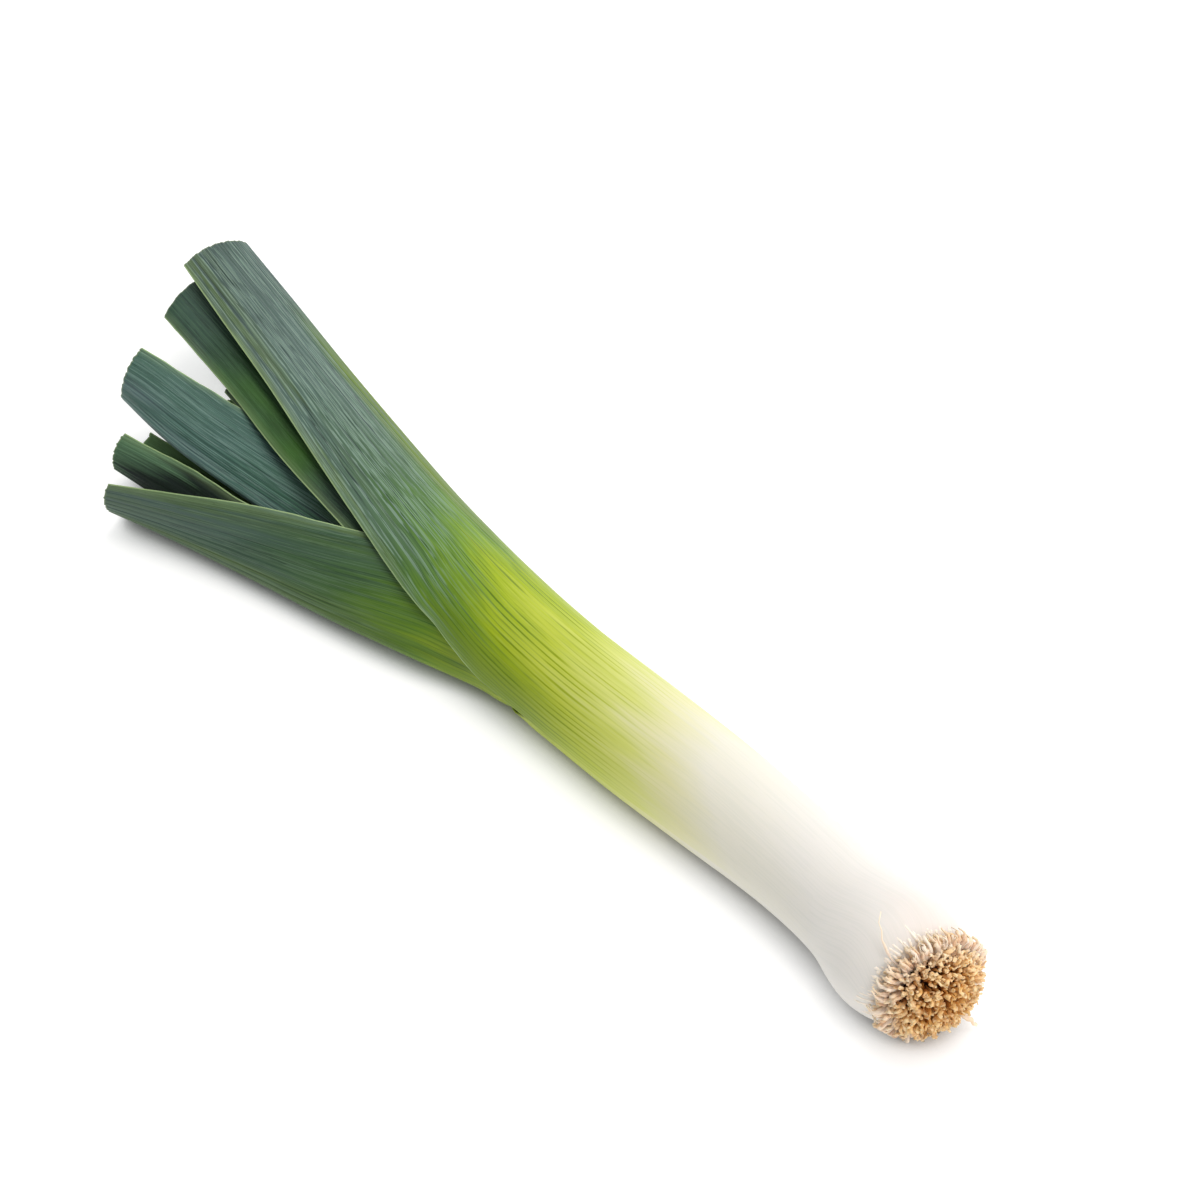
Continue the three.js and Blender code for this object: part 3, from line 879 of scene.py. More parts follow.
@dataclass
class Leaf:
    """A leaf: a tube at its foot that opens opposite its keel and goes on as a folded blade."""

    name: str
    slot: Slot
    skin: LeafSkin
    side: int  # +1 has its keel at +Y, -1 at -Y
    inset: float  # how far its sheath lies inside the shank's outline
    throat: float  # where its tube opens
    stations: tuple[Station, ...]
    seed: int
    columns: int = 100  # across each half
    step: float = 2.2  # between rows
    floor: float = 172.0  # the solid shank ends here
    seat_gap: float = 0.3
    solid_foot: bool = False
    shoulder: float = 8.0  # length of the rounded end of a solid foot
    shoulder_rows: int = 12
    bow: float = 0.0  # how far the cut end bulges outwards
    relief: Relief = Relief()

    def sheath_row(self, along: float) -> np.ndarray:
        """Control numbers of the closed tube at a distance along the leek.

        Args:
            along: distance from the basal plate.

        Returns:
            The row.
        """
        side, wide, high, height = OUTLINE.at(along)
        keel = math.radians(OUTLINE.fan_roll + (0 if self.side > 0 else 180))
        lean = math.tan(OUTLINE.turn(along))

        def on_outline(angle: float) -> tuple[float, float]:
            """Sideways and upwards from the centre to the tube's outline."""
            return (wide - self.inset) * math.cos(angle), (high - self.inset) * math.sin(angle)

        ky, kz = on_outline(keel)
        hy, hz = on_outline(keel + self.side * math.pi / 2)
        far = place(along + ky * lean, side - ky, height - kz)
        handle = np.array([hy * lean, hy, hz]) * BULGE
        row = np.zeros(ROW_LENGTH)
        row[KEEL] = place(along - ky * lean, side + ky, height + kz)
        row[FRONT] = row[BACK] = far
        row[FRONT_HANDLE], row[BACK_HANDLE] = handle, -handle
        return row

    def blade_row(self, station: Station) -> np.ndarray:
        """Control numbers of the open blade at one of its stations.

        Args:
            station: keel, margins, bulges of the halves and flatness.

        Returns:
            The row.
        """
        keel_at, front_at, back_at, front_bulge, back_bulge, flat = station
        keel, front, back = place(*keel_at), place(*front_at), place(*back_at)

        def handle(margin: np.ndarray, other: np.ndarray, bulge: float) -> np.ndarray:
            """Square to the line from the keel to a margin, away from the other half.

            Args:
                margin: where the half ends.
                other: the other half's margin.
                bulge: how far the half bows out.

            Returns:
                The handle of its curve.
            """
            chord = margin - keel
            normal = np.array([0.0, -chord[2], chord[1]])
            normal /= np.linalg.norm(normal)
            if normal @ (other - keel) > 0:
                normal = -normal
            return normal * bulge * BULGE

        row = np.zeros(ROW_LENGTH)
        row[KEEL], row[FRONT], row[BACK] = keel, front, back
        row[FRONT_HANDLE] = handle(front, back, front_bulge)
        row[BACK_HANDLE] = handle(back, front, back_bulge)
        row[FLAT], row[OPEN] = flat, 1.0
        return row

    def rows(self) -> np.ndarray:
        """All rows of control numbers, from the foot to the cut end.

        Returns:
            The rows, on a smooth curve through the stations.
        """
        foot = OUTLINE.stations[0][0] if self.solid_foot else self.floor + self.seat_gap
        count = max(2, math.ceil((self.throat - foot) / self.step))
        spots = list(np.linspace(foot, self.throat, count + 1))
        if self.solid_foot:
            # Closer rows round the bulb's shoulder.
            spots = sorted(set(spots + list(np.linspace(foot, foot + self.shoulder, self.shoulder_rows))))
        sheath = [self.sheath_row(s) for s in spots]
        last_but_one = self.floor if self.solid_foot else foot
        guide = np.array(
            [self.sheath_row(last_but_one), self.sheath_row(self.throat), *map(self.blade_row, self.stations)]
        )
        blade = []
        for i in range(1, len(guide) - 1):
            p1, p2 = guide[i], guide[i + 1]
            p0, p3 = guide[i - 1], guide[min(i + 2, len(guide) - 1)]
            parts = max(2, math.ceil(np.linalg.norm(p2[KEEL] - p1[KEEL]) / self.step))
            for k in range(1, parts + 1):
                f = k / parts
                blade.append(
                    p0 * ((-f + 2 * f**2 - f**3) / 2)
                    + p1 * ((2 - 5 * f**2 + 3 * f**3) / 2)
                    + p2 * ((f + 4 * f**2 - 3 * f**3) / 2)
                    + p3 * ((f**3 - f**2) / 2)
                )
        return np.array(sheath + blade)

    def sections(self, rows: np.ndarray) -> np.ndarray:
        """The outer face's points: rows by columns, from the front margin to the back margin.

        Args:
            rows: the control numbers.

        Returns:
            An array whose last axis is x, y, z.
        """
        t = np.linspace(0.0, 1.0, self.columns + 1)[None, :, None]

        def half(margin: slice, handle: slice) -> np.ndarray:
            """One half of every section, from the keel to a margin.

            Args:
                margin: the margin's place in a row.
                handle: its handle's place.

            Returns:
                The points.
            """
            k, m = rows[:, None, KEEL], rows[:, None, margin]
            h, chord = rows[:, None, handle], (m - k) * rows[:, None, FLAT : FLAT + 1]
            return (
                (1 - t) ** 3 * k
                + 3 * (1 - t) ** 2 * t * (k + chord + h)
                + 3 * (1 - t) * t**2 * (m - chord + h)
                + t**3 * m
            )

        front, back = half(FRONT, FRONT_HANDLE), half(BACK, BACK_HANDLE)
        grid = np.concatenate([front[:, ::-1], back[:, 1:]], axis=1)
        # The keel is a rounded ridge.
        n = self.columns
        w = max(2, round(self.relief.keel_width * n))
        f = np.linspace(0.0, 1.0, 2 * w + 1)[None, :, None]
        low, top, high = grid[:, n - w, None], grid[:, n, None], grid[:, n + w, None]
        rounded = (1 - f) ** 2 * low + 2 * f * (1 - f) * top + f**2 * high
        share = np.clip(rows[:, OPEN], 0.0, 1.0)[:, None, None]
        band = grid[:, n - w : n + w + 1]
        grid[:, n - w : n + w + 1] = band + (rounded - band) * share
        return grid

    def normals(self, grid: np.ndarray, closed: np.ndarray) -> np.ndarray:
        """Unit directions out of the outer face at each point.

        Args:
            grid: the outer face's points.
            closed: which rows are a tube.

        Returns:
            The directions.
        """
        lengthways = np.gradient(grid, axis=0)
        across = np.gradient(grid, axis=1)
        seam = grid[closed, 1] - grid[closed, -2]
        across[closed, 0] = across[closed, -1] = seam / 2
        out = np.cross(across, lengthways) * self.side
        length = np.linalg.norm(out, axis=2, keepdims=True)
        return out / np.maximum(length, 1e-9)

    def measure(self, rows: np.ndarray, grid: np.ndarray) -> dict[str, np.ndarray]:
        """Where each point lies on the leaf.

        Args:
            rows: the control numbers.
            grid: the outer face's points.

        Returns:
            "along" from the basal plate, "vein" counted from the keel, "edge" to the nearest free
            margin, "cut" to the cut end, "early" by which the green comes sooner, in millimetres
            but for the count, and "behind", which is 1 past the keel.
        """
        n, relief = self.columns, self.relief
        steps = np.linalg.norm(np.diff(grid, axis=1), axis=2)
        front = np.cumsum(steps[:, :n][:, ::-1], axis=1)[:, ::-1]
        back = np.cumsum(steps[:, n:], axis=1)
        zero = np.zeros((len(grid), 1))
        from_keel = np.concatenate([front, zero, back], axis=1)
        ahead, after = front[:, :1], back[:, -1:]
        parts = [np.repeat(ahead, n, axis=1), np.maximum(ahead, after), np.repeat(after, n, axis=1)]
        half = np.concatenate(parts, axis=1)
        share = from_keel / half
        along = ORIGIN_ALONG - grid[:, :, 0]
        # The veins keep straight past the throat, where the leaf's width changes in a short way.
        at = along[:, n]
        near = np.exp(-0.5 * ((at[:, None] - at[None, :]) / relief.straight) ** 2)
        usual = (near / near.sum(axis=1, keepdims=True)) @ half
        behind = np.where(np.arange(grid.shape[1]) <= n, 0.0, 1.0)[None, :] + zero
        opened = smoothstep(rows[:, OPEN], 0.0, 1.0)[:, None]
        edge = (half - from_keel) * opened + NO_EDGE * (1.0 - opened)
        lengths = np.linalg.norm(np.diff(grid, axis=0), axis=2)
        to_end = np.concatenate([np.cumsum(lengths[::-1], axis=0)[::-1], np.zeros((1, grid.shape[1]))])
        early = relief.early * np.where(behind > 0, relief.early_behind, 1.0)
        early = early * smoothstep(share, *relief.early_spread)
        lead = relief.lead * (1.0 - smoothstep(share, *relief.lead_spread))
        return {
            "along": along,
            "vein": from_keel / usual * relief.veins,
            "edge": edge,
            "cut": to_end,
            "early": early + lead * (1.0 - smoothstep(along, *relief.lead_ends)),
            "behind": behind,
        }

    def shape(self, rows: np.ndarray, grid: np.ndarray, spots: dict[str, np.ndarray]) -> np.ndarray:
        """Wave the free margins and make the cut end ragged.

        Args:
            rows: the control numbers.
            grid: the outer face's points.
            spots: what measure() found.

        Returns:
            The moved points.
        """
        relief = self.relief
        opened = smoothstep(rows[:, OPEN], 0.2, 1.0)[:, None]
        normal = self.normals(grid, rows[:, OPEN] == 0)
        near_edge = np.exp(-spots["edge"] / relief.ripple_width) * opened
        sign = np.where(np.arange(grid.shape[1]) < self.columns, 1.0, -1.0)[None, :]
        wave = waves(spots["along"] + relief.ripple_offset * sign, self.seed, relief.ripple_length)
        moved = grid + normal * (near_edge * wave * relief.ripple)[:, :, None]
        # The knife leaves the veins standing a little, and small nicks between them.
        lengthways = np.gradient(moved, axis=0)
        lengthways /= np.linalg.norm(lengthways, axis=2, keepdims=True)
        signed = spots["vein"] * sign
        tooth = waves(signed, self.seed + 50, relief.tooth_width, 7) * 0.6
        tooth = tooth + np.cos(2 * np.pi * signed) * relief.vein_teeth
        near_cut = 1.0 - smoothstep(spots["cut"], 0.0, relief.tooth_length)
        over_front = np.clip(np.arange(grid.shape[1]) / self.columns, 0.0, 1.0)
        bow = self.bow * np.sin(np.pi * over_front)[None, :]
        bow = bow * (1.0 - smoothstep(spots["cut"], 0.0, relief.bow_length))
        return moved + lengthways * (tooth * near_cut * relief.teeth + bow)[:, :, None]

    def plan(self) -> MeshPlan:
        """Build the leaf as one closed skin: outer face, inner face, margins, cut and foot.

        Returns:
            The mesh, still in millimetres.
        """
        relief = self.relief
        rows = self.rows()
        closed = rows[:, OPEN] == 0
        grid = self.sections(rows)
        spots = self.measure(rows, grid)
        grid = self.shape(rows, grid, spots)
        normal = self.normals(grid, closed)
        vein = spots["vein"]
        fine = 0.5 + 0.5 * np.cos(2 * np.pi * vein)
        main = (0.5 + 0.5 * np.cos(2 * np.pi * vein / 3)) ** 3
        main = main * smoothstep(spots["along"], *relief.main_starts)
        fine = fine * smoothstep(spots["along"], *relief.groove_starts)
        sunk = relief.groove * fine + relief.main_groove * main
        outer = grid - normal * sunk[:, :, None]
        margin = smoothstep(spots["edge"], 0.0, relief.taper)
        thick = relief.margin_thickness + (relief.thickness - relief.margin_thickness) * margin
        inner = grid - normal * thick[:, :, None]
        outer[:, :, 2] = np.maximum(outer[:, :, 2], 0.0)
        inner[:, :, 2] = np.maximum(inner[:, :, 2], np.minimum(thick, THINNEST_FOOT))
        start = int(np.argmax(spots["along"][:, 0] > self.floor)) if self.solid_foot else 0

        plan = MeshPlan()
        outer_ids = plan.add_points(outer, {**spots, "face": 0.0 * vein})
        inner_ids = plan.add_points(inner, {**spots, "face": 0.0 * vein + 1.0})
        for ids in (outer_ids, inner_ids):
            ids[closed, -1] = ids[closed, 0]
        o, n = (outer_ids, inner_ids) if self.side > 0 else (outer_ids[:, ::-1], inner_ids[:, ::-1])
        plan.add_quads(o[:-1, :-1], o[:-1, 1:], o[1:, 1:], o[1:, :-1])
        i = n[start:]
        plan.add_quads(i[:-1, :-1], i[1:, :-1], i[1:, 1:], i[:-1, 1:])
        b = int(np.argmin(closed)) - 1
        plan.add_quads(n[b:-1, 0], o[b:-1, 0], o[b + 1 :, 0], n[b + 1 :, 0])
        plan.add_quads(o[b:-1, -1], n[b:-1, -1], n[b + 1 :, -1], o[b + 1 :, -1])
        plan.add_quads(o[-1, :-1], o[-1, 1:], n[-1, 1:], n[-1, :-1])
        if self.solid_foot:
            plan.faces.append(tuple(int(v) for v in o[0, :-1])[::-1])
            plan.faces.append(tuple(int(v) for v in i[0, :-1]))
        else:
            plan.add_quads(o[0, 1:], o[0, :-1], n[0, :-1], n[0, 1:])
        return plan

    def dress(self) -> bpy.types.Object:
        """Make the leaf's piece, in place of its solid.

        Returns:
            The piece.
        """
        piece = self.plan().build(self.name + "_skin", self.skin.build())
        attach(piece, BODY)
        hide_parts(self.name)
        LOG.info("%s: %d faces", piece.name, len(piece.data.polygons))
        return piece


# From the outermost leaf to the heart. The shank is one piece with the outermost leaf.
LEAVES = (
    Leaf(
        name="shank",
        slot=Slot.SHANK,
        skin=SHANK_SKIN,
        side=1,
        inset=0.0,
        throat=174.0,
        seed=11,
        columns=120,
        step=2.6,
        solid_foot=True,
        bow=1.6,
        relief=Relief(keel_width=0.11),
        stations=(
            ((186, 29.2, 23.4), (186, -9.9, 13.8), (186, -4, 4.3), 18.9, 16.7, 0),
            ((198, 29.8, 24.3), (198, -10.4, 15.8), (198, 1, 1.5), 18.2, 13, 0.03),
            ((210, 30.7, 25.1), (210, -10.8, 20.2), (210, 2, 1.4), 16.4, 10.6, 0.08),
            ((224, 32.3, 25.9), (224, -10.5, 25.8), (224, 3, 1.3), 14, 8.6, 0.14),
            ((242, 35.2, 26.8), (239.5, -10.6, 32.2), (242, 5, 1.2), 11, 7, 0.2),
            ((268, 39.5, 27.9), (268, -5.5, 38.6), (268, 9, 1.2), 7.5, 6, 0.25),
            ((305, 46.7, 29.2), (308, 5.8, 39.2), (305, 16, 2), 5.5, 5, 0.25),
            ((350, 55.5, 31.2), (354, 19.5, 39), (350, 26, 3.5), 4.5, 4.5, 0.25),
            ((395, 65, 33.5), (400, 32.3, 38), (397, 37, 6), 4, 4, 0.25),
            ((437, 73.8, 35), (439, 43.5, 37), (437, 47, 9), 4, 4, 0.25),
        ),
    ),
    Leaf(
        name="leaf_left_outer",
        slot=Slot.GREEN,
        skin=OUTER_LEFT_SKIN,
        side=-1,
        inset=3.0,
        throat=178.0,
        seed=12,
        stations=(
            ((189, -8, 9.2), (189, 27, 24), (189, 26.2, 17.2), 18.8, 10.8, 0.2),
            ((200, -9, 8.4), (203, 26.8, 22.6), (203, 25.8, 16.6), 19.2, 8.7, 0.2),
            ((212, -11.8, 7.6), (215, 24.6, 26.4), (215, 22.4, 11), 15.5, 5.6, 0.33),
            ((225, -16.4, 9.2), (226, 18, 31), (228, 14, 5.8), 10, 4.2, 0.3),
            ((242, -20.6, 9.5), (244, 7, 36.6), (244, 8.6, 4.3), 7.6, 4.5, 0.25),
            ((266, -25.3, 8.4), (268, -7, 35.8), (266, 2, 2.8), 5.5, 4.4, 0.25),
            ((299, -31.1, 7.5), (302, -21.5, 33.5), (299, -9, 1.8), 4, 3.3, 0.25),
            ((334, -38.3, 7), (334, -37, 28.8), (336, -18, 1.5), 3, 2.6, 0.25),
            ((363, -45.6, 7), (358.8, -48.6, 24.5), (374, -29, 3.4), 3, 2.4, 0.25),
        ),
    ),
    Leaf(
        name="leaf_right_inner",
        slot=Slot.DARK,
        skin=RIGHT_INNER_SKIN_PAINTED_SHADE,
        side=1,
        inset=6.3,
        throat=194.0,
        seed=13,
        bow=3.5,
        stations=(
            ((208, 22, 20.9), (208, -5.6, 17.2), (208, -4.2, 12.6), 10.8, 10.1, 0.03),
            ((224, 23.8, 20.8), (224, -7.2, 21.4), (224, -4, 9.4), 8.2, 7.3, 0.12),
            ((242, 27.6, 22), (242, -9.8, 26.2), (242, 1, 6.3), 7.4, 5.6, 0.2),
            ((258, 31, 22.2), (258, -9.6, 31.0), (258, 5, 5.2), 7, 5.8, 0.25),
            ((275, 34, 22), (275.5, -7.5, 34.2), (275, 8, 4.8), 5.5, 5.3, 0.25),
            ((322, 43, 23), (322.5, 1.6, 32), (322, 17, 5.8), 6, 4.3, 0.25),
            ((370, 53, 25), (369.8, 13.1, 30), (372, 28, 8), 5.5, 4, 0.25),
            ((430, 65, 28), (430.5, 26.8, 25), (430, 40, 11), 6, 3, 0.25),
        ),
    ),
    Leaf(
        name="leaf_left_middle",
        slot=Slot.DARK,
        skin=LEFT_MIDDLE_SKIN_PAINTED_SHADE,
        side=-1,
        inset=8.7,
        throat=197.0,
        seed=14,
        columns=70,
        stations=(
            ((212, -3.6, 15.2), (212, 18.1, 23.1), (212, 18, 16.2), 7.7, 6.3, 0.08),
            ((228, -7.2, 14), (228, 15, 26), (228, 13.8, 11.8), 6.2, 3.9, 0.18),
            ((245, -13.2, 12.8), (245, 7.5, 29), (245, 9, 10.4), 5.3, 3, 0.22),
            ((275, -19, 10.6), (275, -6.5, 28.2), (275, 2, 7.6), 4.5, 3.5, 0.25),
            ((310, -24, 8.6), (310, -17.5, 25.5), (310, -4, 6.6), 3.5, 2.6, 0.25),
            ((350, -28, 7.4), (352, -17.6, 19.8), (352, -5, 9.4), 3, 2.4, 0.25),
            ((384, -30.3, 6.6), (384.6, -23.8, 20.2), (386, -11.9, 14), 3, 2.6, 0.25),
        ),
    ),
    Leaf(
        name="leaf_left_inner",
        slot=Slot.BLUE,
        skin=LEFT_INNER_SKIN,
        side=-1,
        inset=11.6,
        throat=202.0,
        seed=15,
        columns=80,
        stations=(
            ((220, -1.4, 16.7), (220, 14.2, 22.4), (220, 14, 16.8), 4.9, 4.2, 0.1),
            ((240, -5, 16.2), (240, 14.6, 24), (240, 12.4, 14.1), 5, 3.4, 0.18),
            ((285, -9, 17), (285, 17, 26.4), (285, 13, 12.4), 4.5, 3.6, 0.25),
            ((325, -14.2, 20), (325, 15, 26.4), (325, 13, 13.5), 3.5, 3.8, 0.25),
            ((365, -17.3, 22.5), (365.6, 9.5, 30), (365, 9, 17.5), 3.2, 3.8, 0.25),
            ((401, -13.9, 22), (403.4, -0.9, 38), (402, 6, 22), 3, 3.5, 0.25),
        ),
    ),
    Leaf(
        name="leaf_heart",
        slot=Slot.GREEN,
        skin=HEART_SKIN,
        side=1,
        inset=15.0,
        throat=207.0,
        seed=16,
        columns=44,
        stations=(
            ((222, 12.6, 19.4), (222, 3, 20.6), (222, 3.4, 17.8), 2.4, 2.4, 0.08),
            ((245, 14.6, 20), (245, 2.6, 21.4), (245, 3.6, 17), 2.5, 2.4, 0.15),
            ((285, 19.5, 20.2), (285, 4.5, 22.2), (285, 6.5, 16.4), 2.6, 2.6, 0.2),
            ((325, 23.5, 21), (325, 7.5, 23), (325, 9, 17.5), 2.4, 2.4, 0.25),
            ((377, 29, 22.6), (377, 15.9, 24.2), (377, 17, 19), 2.2, 2.2, 0.25),
        ),
    ),
)


# ------------------------------------------------------------------ roots


@dataclass(frozen=True)
class StrandLook:
    """How one root is drawn."""

    radius: float
    tint: float  # from 0 to 1, how it differs from its neighbours
    rim: float = 0.0  # how pale it is, from 0 to 1
    taper: float = 0.0  # share of the radius lost towards the tip
    flat: float = 1.0  # its second radius, as a share of the first
    shade: float = 0.0  # added to the place on the colour ramp


# The two longer roots: points outwards, across and round in degrees, radius, and how pale it is.
STRAYS = (
    (((1.0, 13.0, 130.0), (-4.0, 21.8, 127.0), (-12.0, 27.2, 113.0)), 0.42, 0.7),
    (((3.0, 11.0, -52.0), (6.0, 17.5, -52.0), (8.5, 22.5, -52.0)), 1.5, 0.6),
)


@dataclass
class RootTuft:
    """The tuft of trimmed roots on the basal plate: several hundred crimped stubs.

    A span is the range that each root's own number is drawn from.
    """

    name: str = "root_tuft"
    seed: int = 21
    shell_centre: float = -0.5  # outwards from the basal end's plane
    shell_along: float = 14.8
    shell_across: float = 18.6
    core_along: float = 5.5
    core_across: float = 14.0
    core_rings: int = 12
    core_sides: int = 48
    count: int = 760
    widest: float = 98.0  # degrees from the tuft's axis
    radius: float = 0.64
    stub_reach: Span = (0.84, 1.03)  # share of the shell
    stub_size: Span = (0.7, 1.35)  # share of the radius
    hollow: float = 0.16  # how much shorter the middle roots are
    hollow_spread: Span = (0.15, 0.75)  # radians from the tuft's axis
    pale_from: Span = (0.85, 1.45)  # radians from it at which the roots turn pale
    crimp: float = 0.6
    crimp_length: float = 3.4
    rings: int = 10
    sides: int = 6
    lowest: float = 0.4
    rim_count: int = 150
    rim_start: Span = (1.6, 12.5)  # outwards and across
    rim_reach: Span = (0.95, 1.09)
    rim_back: Span = (-2.6, 2.6)  # outwards from the basal end's plane
    rim_size: Span = (0.6, 1.3)
    streak_count: int = 84
    streak_start: Span = (0.0, 1.4)
    streak_length: Span = (3.0, 8.5)
    streak_radius: Span = (0.35, 0.7)

    def __post_init__(self) -> None:
        """Set the tuft's frame, which is its end point and three directions, and start its mesh."""
        along = OUTLINE.stations[0][0]
        side, _, _, height = OUTLINE.at(along)
        turn = OUTLINE.turn(along)
        self.end = place(along, side, height)
        self.out = np.array([math.cos(turn), -math.sin(turn), 0.0])
        self.aside = np.array([math.sin(turn), math.cos(turn), 0.0])
        self.up = np.array([0.0, 0.0, 1.0])
        self.random = np.random.default_rng(self.seed)
        self.plan = MeshPlan()

    def at(self, out: Any, across: Any, angle: Any) -> np.ndarray:
        """A point from its distance outwards, its distance from the axis and its angle."""
        out, across, angle = (np.asarray(v, float)[..., None] for v in (out, across, angle))
        return self.end + out * self.out + across * (np.cos(angle) * self.aside + np.sin(angle) * self.up)

    def strand(self, path: np.ndarray, look: StrandLook, clear: float) -> None:
        """Add one closed crimped tube.

        Args:
            path: its middle line.
            look: how it is drawn.
            clear: how far its middle line stays above the tuft's lowest point.
        """
        path[:, 2] = np.maximum(path[:, 2], self.lowest + clear)
        t = np.linspace(0.0, 1.0, len(path))
        ahead = np.gradient(path, axis=0)
        ahead /= np.linalg.norm(ahead, axis=1, keepdims=True)
        helper = self.up if abs(ahead[0] @ self.up) < 0.8 else self.aside
        right = np.cross(helper, ahead)
        right /= np.linalg.norm(right, axis=1, keepdims=True)
        over = np.cross(ahead, right)
        turns = 2 * np.pi * np.arange(self.sides) / self.sides + 5.0 * look.tint
        # Two sine waves make it lumpy, in another way for each tint.
        lumps = 1.0 + 0.2 * np.sin(11.0 * t + 17.0 * look.tint) + 0.12 * np.sin(23.0 * t + 5.0 * look.tint)
        swell = look.radius * lumps * (1.0 - look.taper * smoothstep(t, 0.35, 1.0))
        ring = (
            np.cos(turns)[None, :, None] * right[:, None]
            + look.flat * np.sin(turns)[None, :, None] * over[:, None]
        )
        grid = path[:, None] + ring * swell[:, None, None]
        numbers = {"tip": np.clip(t + look.shade, 0.0, 1.0)[:, None], "tint": look.tint, "rim": look.rim}
        ids = self.plan.add_points(grid, numbers)
        following = np.roll(ids, -1, axis=1)
        self.plan.add_quads(ids[:-1], following[:-1], following[1:], ids[1:])
        dimple = path[-1] - ahead[-1] * swell[-1] * 0.4
        middle = {"tip": np.array([0.5]), "tint": look.tint, "rim": look.rim}
        hub = self.plan.add_points(dimple[None], middle)[0]
        for k in range(self.sides):
            self.plan.faces.append((int(ids[-1, k]), int(following[-1, k]), int(hub)))
        self.plan.faces.append(tuple(int(v) for v in ids[0])[::-1])

    def crimped(self, points: np.ndarray, amount: float) -> np.ndarray:
        """A smooth line through three points, crimped more and more towards its tip.

        Args:
            points: its start, middle and tip.
            amount: how far it strays, in mm.

        Returns:
            Its points.
        """
        t = np.linspace(0.0, 1.0, self.rings)[:, None]
        line = (1 - t) * (1 - 2 * t) * points[0] + 4 * t * (1 - t) * points[1] + t * (2 * t - 1) * points[2]
        length = np.linalg.norm(points[2] - points[0])
        ahead = (points[2] - points[0]) / max(length, 1e-6)
        right = np.cross(ahead, self.up + 0.3 * self.aside)
        right /= np.linalg.norm(right)
        over = np.cross(ahead, right)
        phase, skew, hook = self.random.uniform(0, 2 * math.pi, 3)
        pitch = 2 * math.pi * length / (self.crimp_length * self.random.uniform(0.7, 1.4))
        bend = amount * t**0.6
        curl = 0.9 * amount * t**3
        return (
            line
            + right * (np.sin(pitch * t + phase) * bend + math.cos(hook) * curl)
            + over * (np.sin(0.8 * pitch * t + skew) * bend + math.sin(hook) * curl)
        )

    def add_core(self) -> None:
        """Add the basal plate's low dome, which shows brown between the roots."""
        theta = np.linspace(0.02, math.pi / 2, self.core_rings)[:, None]
        angle = np.linspace(0.0, 2 * math.pi, self.core_sides, endpoint=False)[None, :]
        lumps = 1.0 + 0.05 * np.sin(5 * angle) * np.sin(3 * theta)
        across = self.core_across * np.sin(theta) * lumps
        grid = self.at(0.2 + self.core_along * np.cos(theta) * lumps, across, angle + 0 * theta)
        ids = self.plan.add_points(grid, {"tip": 0.0, "tint": 0.2, "rim": 0.0})
        following = np.roll(ids, -1, axis=1)
        self.plan.add_quads(ids[:-1], ids[1:], following[1:], following[:-1])
        self.plan.faces.append(tuple(int(v) for v in ids[0]))
        self.plan.faces.append(tuple(int(v) for v in ids[-1])[::-1])

    def add_stubs(self) -> None:
        """Add the cut stubs, in golden-angle order from the middle of the plate outwards."""
        random = self.random
        golden = math.pi * (3 - math.sqrt(5))
        for i in range(self.count):
            cosine = 1 - (i + 0.5) / self.count * (1 - math.cos(math.radians(self.widest)))
            theta = math.acos(cosine) + random.normal(0, 0.05)
            angle = i * golden + random.normal(0, 0.08)
            # The middle of the tuft is a little sunken and darker.
            hollow = 1.0 - float(smoothstep(theta, *self.hollow_spread))
            reach = random.uniform(*self.stub_reach) - self.hollow * hollow * random.random()
            tip_out = self.shell_centre + self.shell_along * math.cos(theta) * reach
            tip_across = self.shell_across * math.sin(theta) * reach
            foot_out = 0.8 + 3.0 * max(cosine, 0.0)
            foot_across = tip_across * 0.62
            mid_out = foot_out * 0.45 + tip_out * 0.55 + 0.6
            mid_across = foot_across * 0.45 + tip_across * 0.55
            lean = random.normal(0, 0.07)
            foot, mid = self.at(foot_out, foot_across, angle), self.at(mid_out, mid_across, angle + lean)
            points = np.stack([foot, mid, self.at(tip_out, tip_across, angle + 1.7 * lean)])
            path = self.crimped(points, self.crimp * random.uniform(0.5, 1.3))
            look = StrandLook(
                radius=self.radius * random.uniform(*self.stub_size),
                tint=random.random(),
                rim=0.75 * float(smoothstep(theta, *self.pale_from)) * random.uniform(0.3, 1.0),
                taper=random.choice([0.05, 0.2, 0.5]),
                flat=random.uniform(0.45, 1.0),
                shade=0.06 - 0.2 * hollow,
            )
            self.strand(path, look, 1.2 * look.radius)

    def add_rim(self) -> None:
        """Add the pale thin roots round the plate, which stand out and bend back."""
        random = self.random
        for i in range(self.rim_count):
            angle = 2 * math.pi * (i + random.random()) / self.rim_count
            across = self.shell_across * random.uniform(*self.rim_reach)
            back = random.uniform(*self.rim_back)
            lean = random.normal(0, 0.05)
            bend = self.at(2.4 + 0.3 * back, 0.55 * across + 8.0, angle + lean)
            tip = self.at(back, across, angle + 1.5 * lean)
            points = np.stack([self.at(*self.rim_start, angle), bend, tip])
            path = self.crimped(points, 0.4 * self.crimp)
            look = StrandLook(
                radius=1.05 * self.radius * random.uniform(*self.rim_size),
                tint=random.random(),
                rim=random.uniform(0.3, 0.85),
                taper=random.uniform(0.15, 0.7),
                flat=random.uniform(0.5, 1.0),
            )
            self.strand(path, look, look.radius)

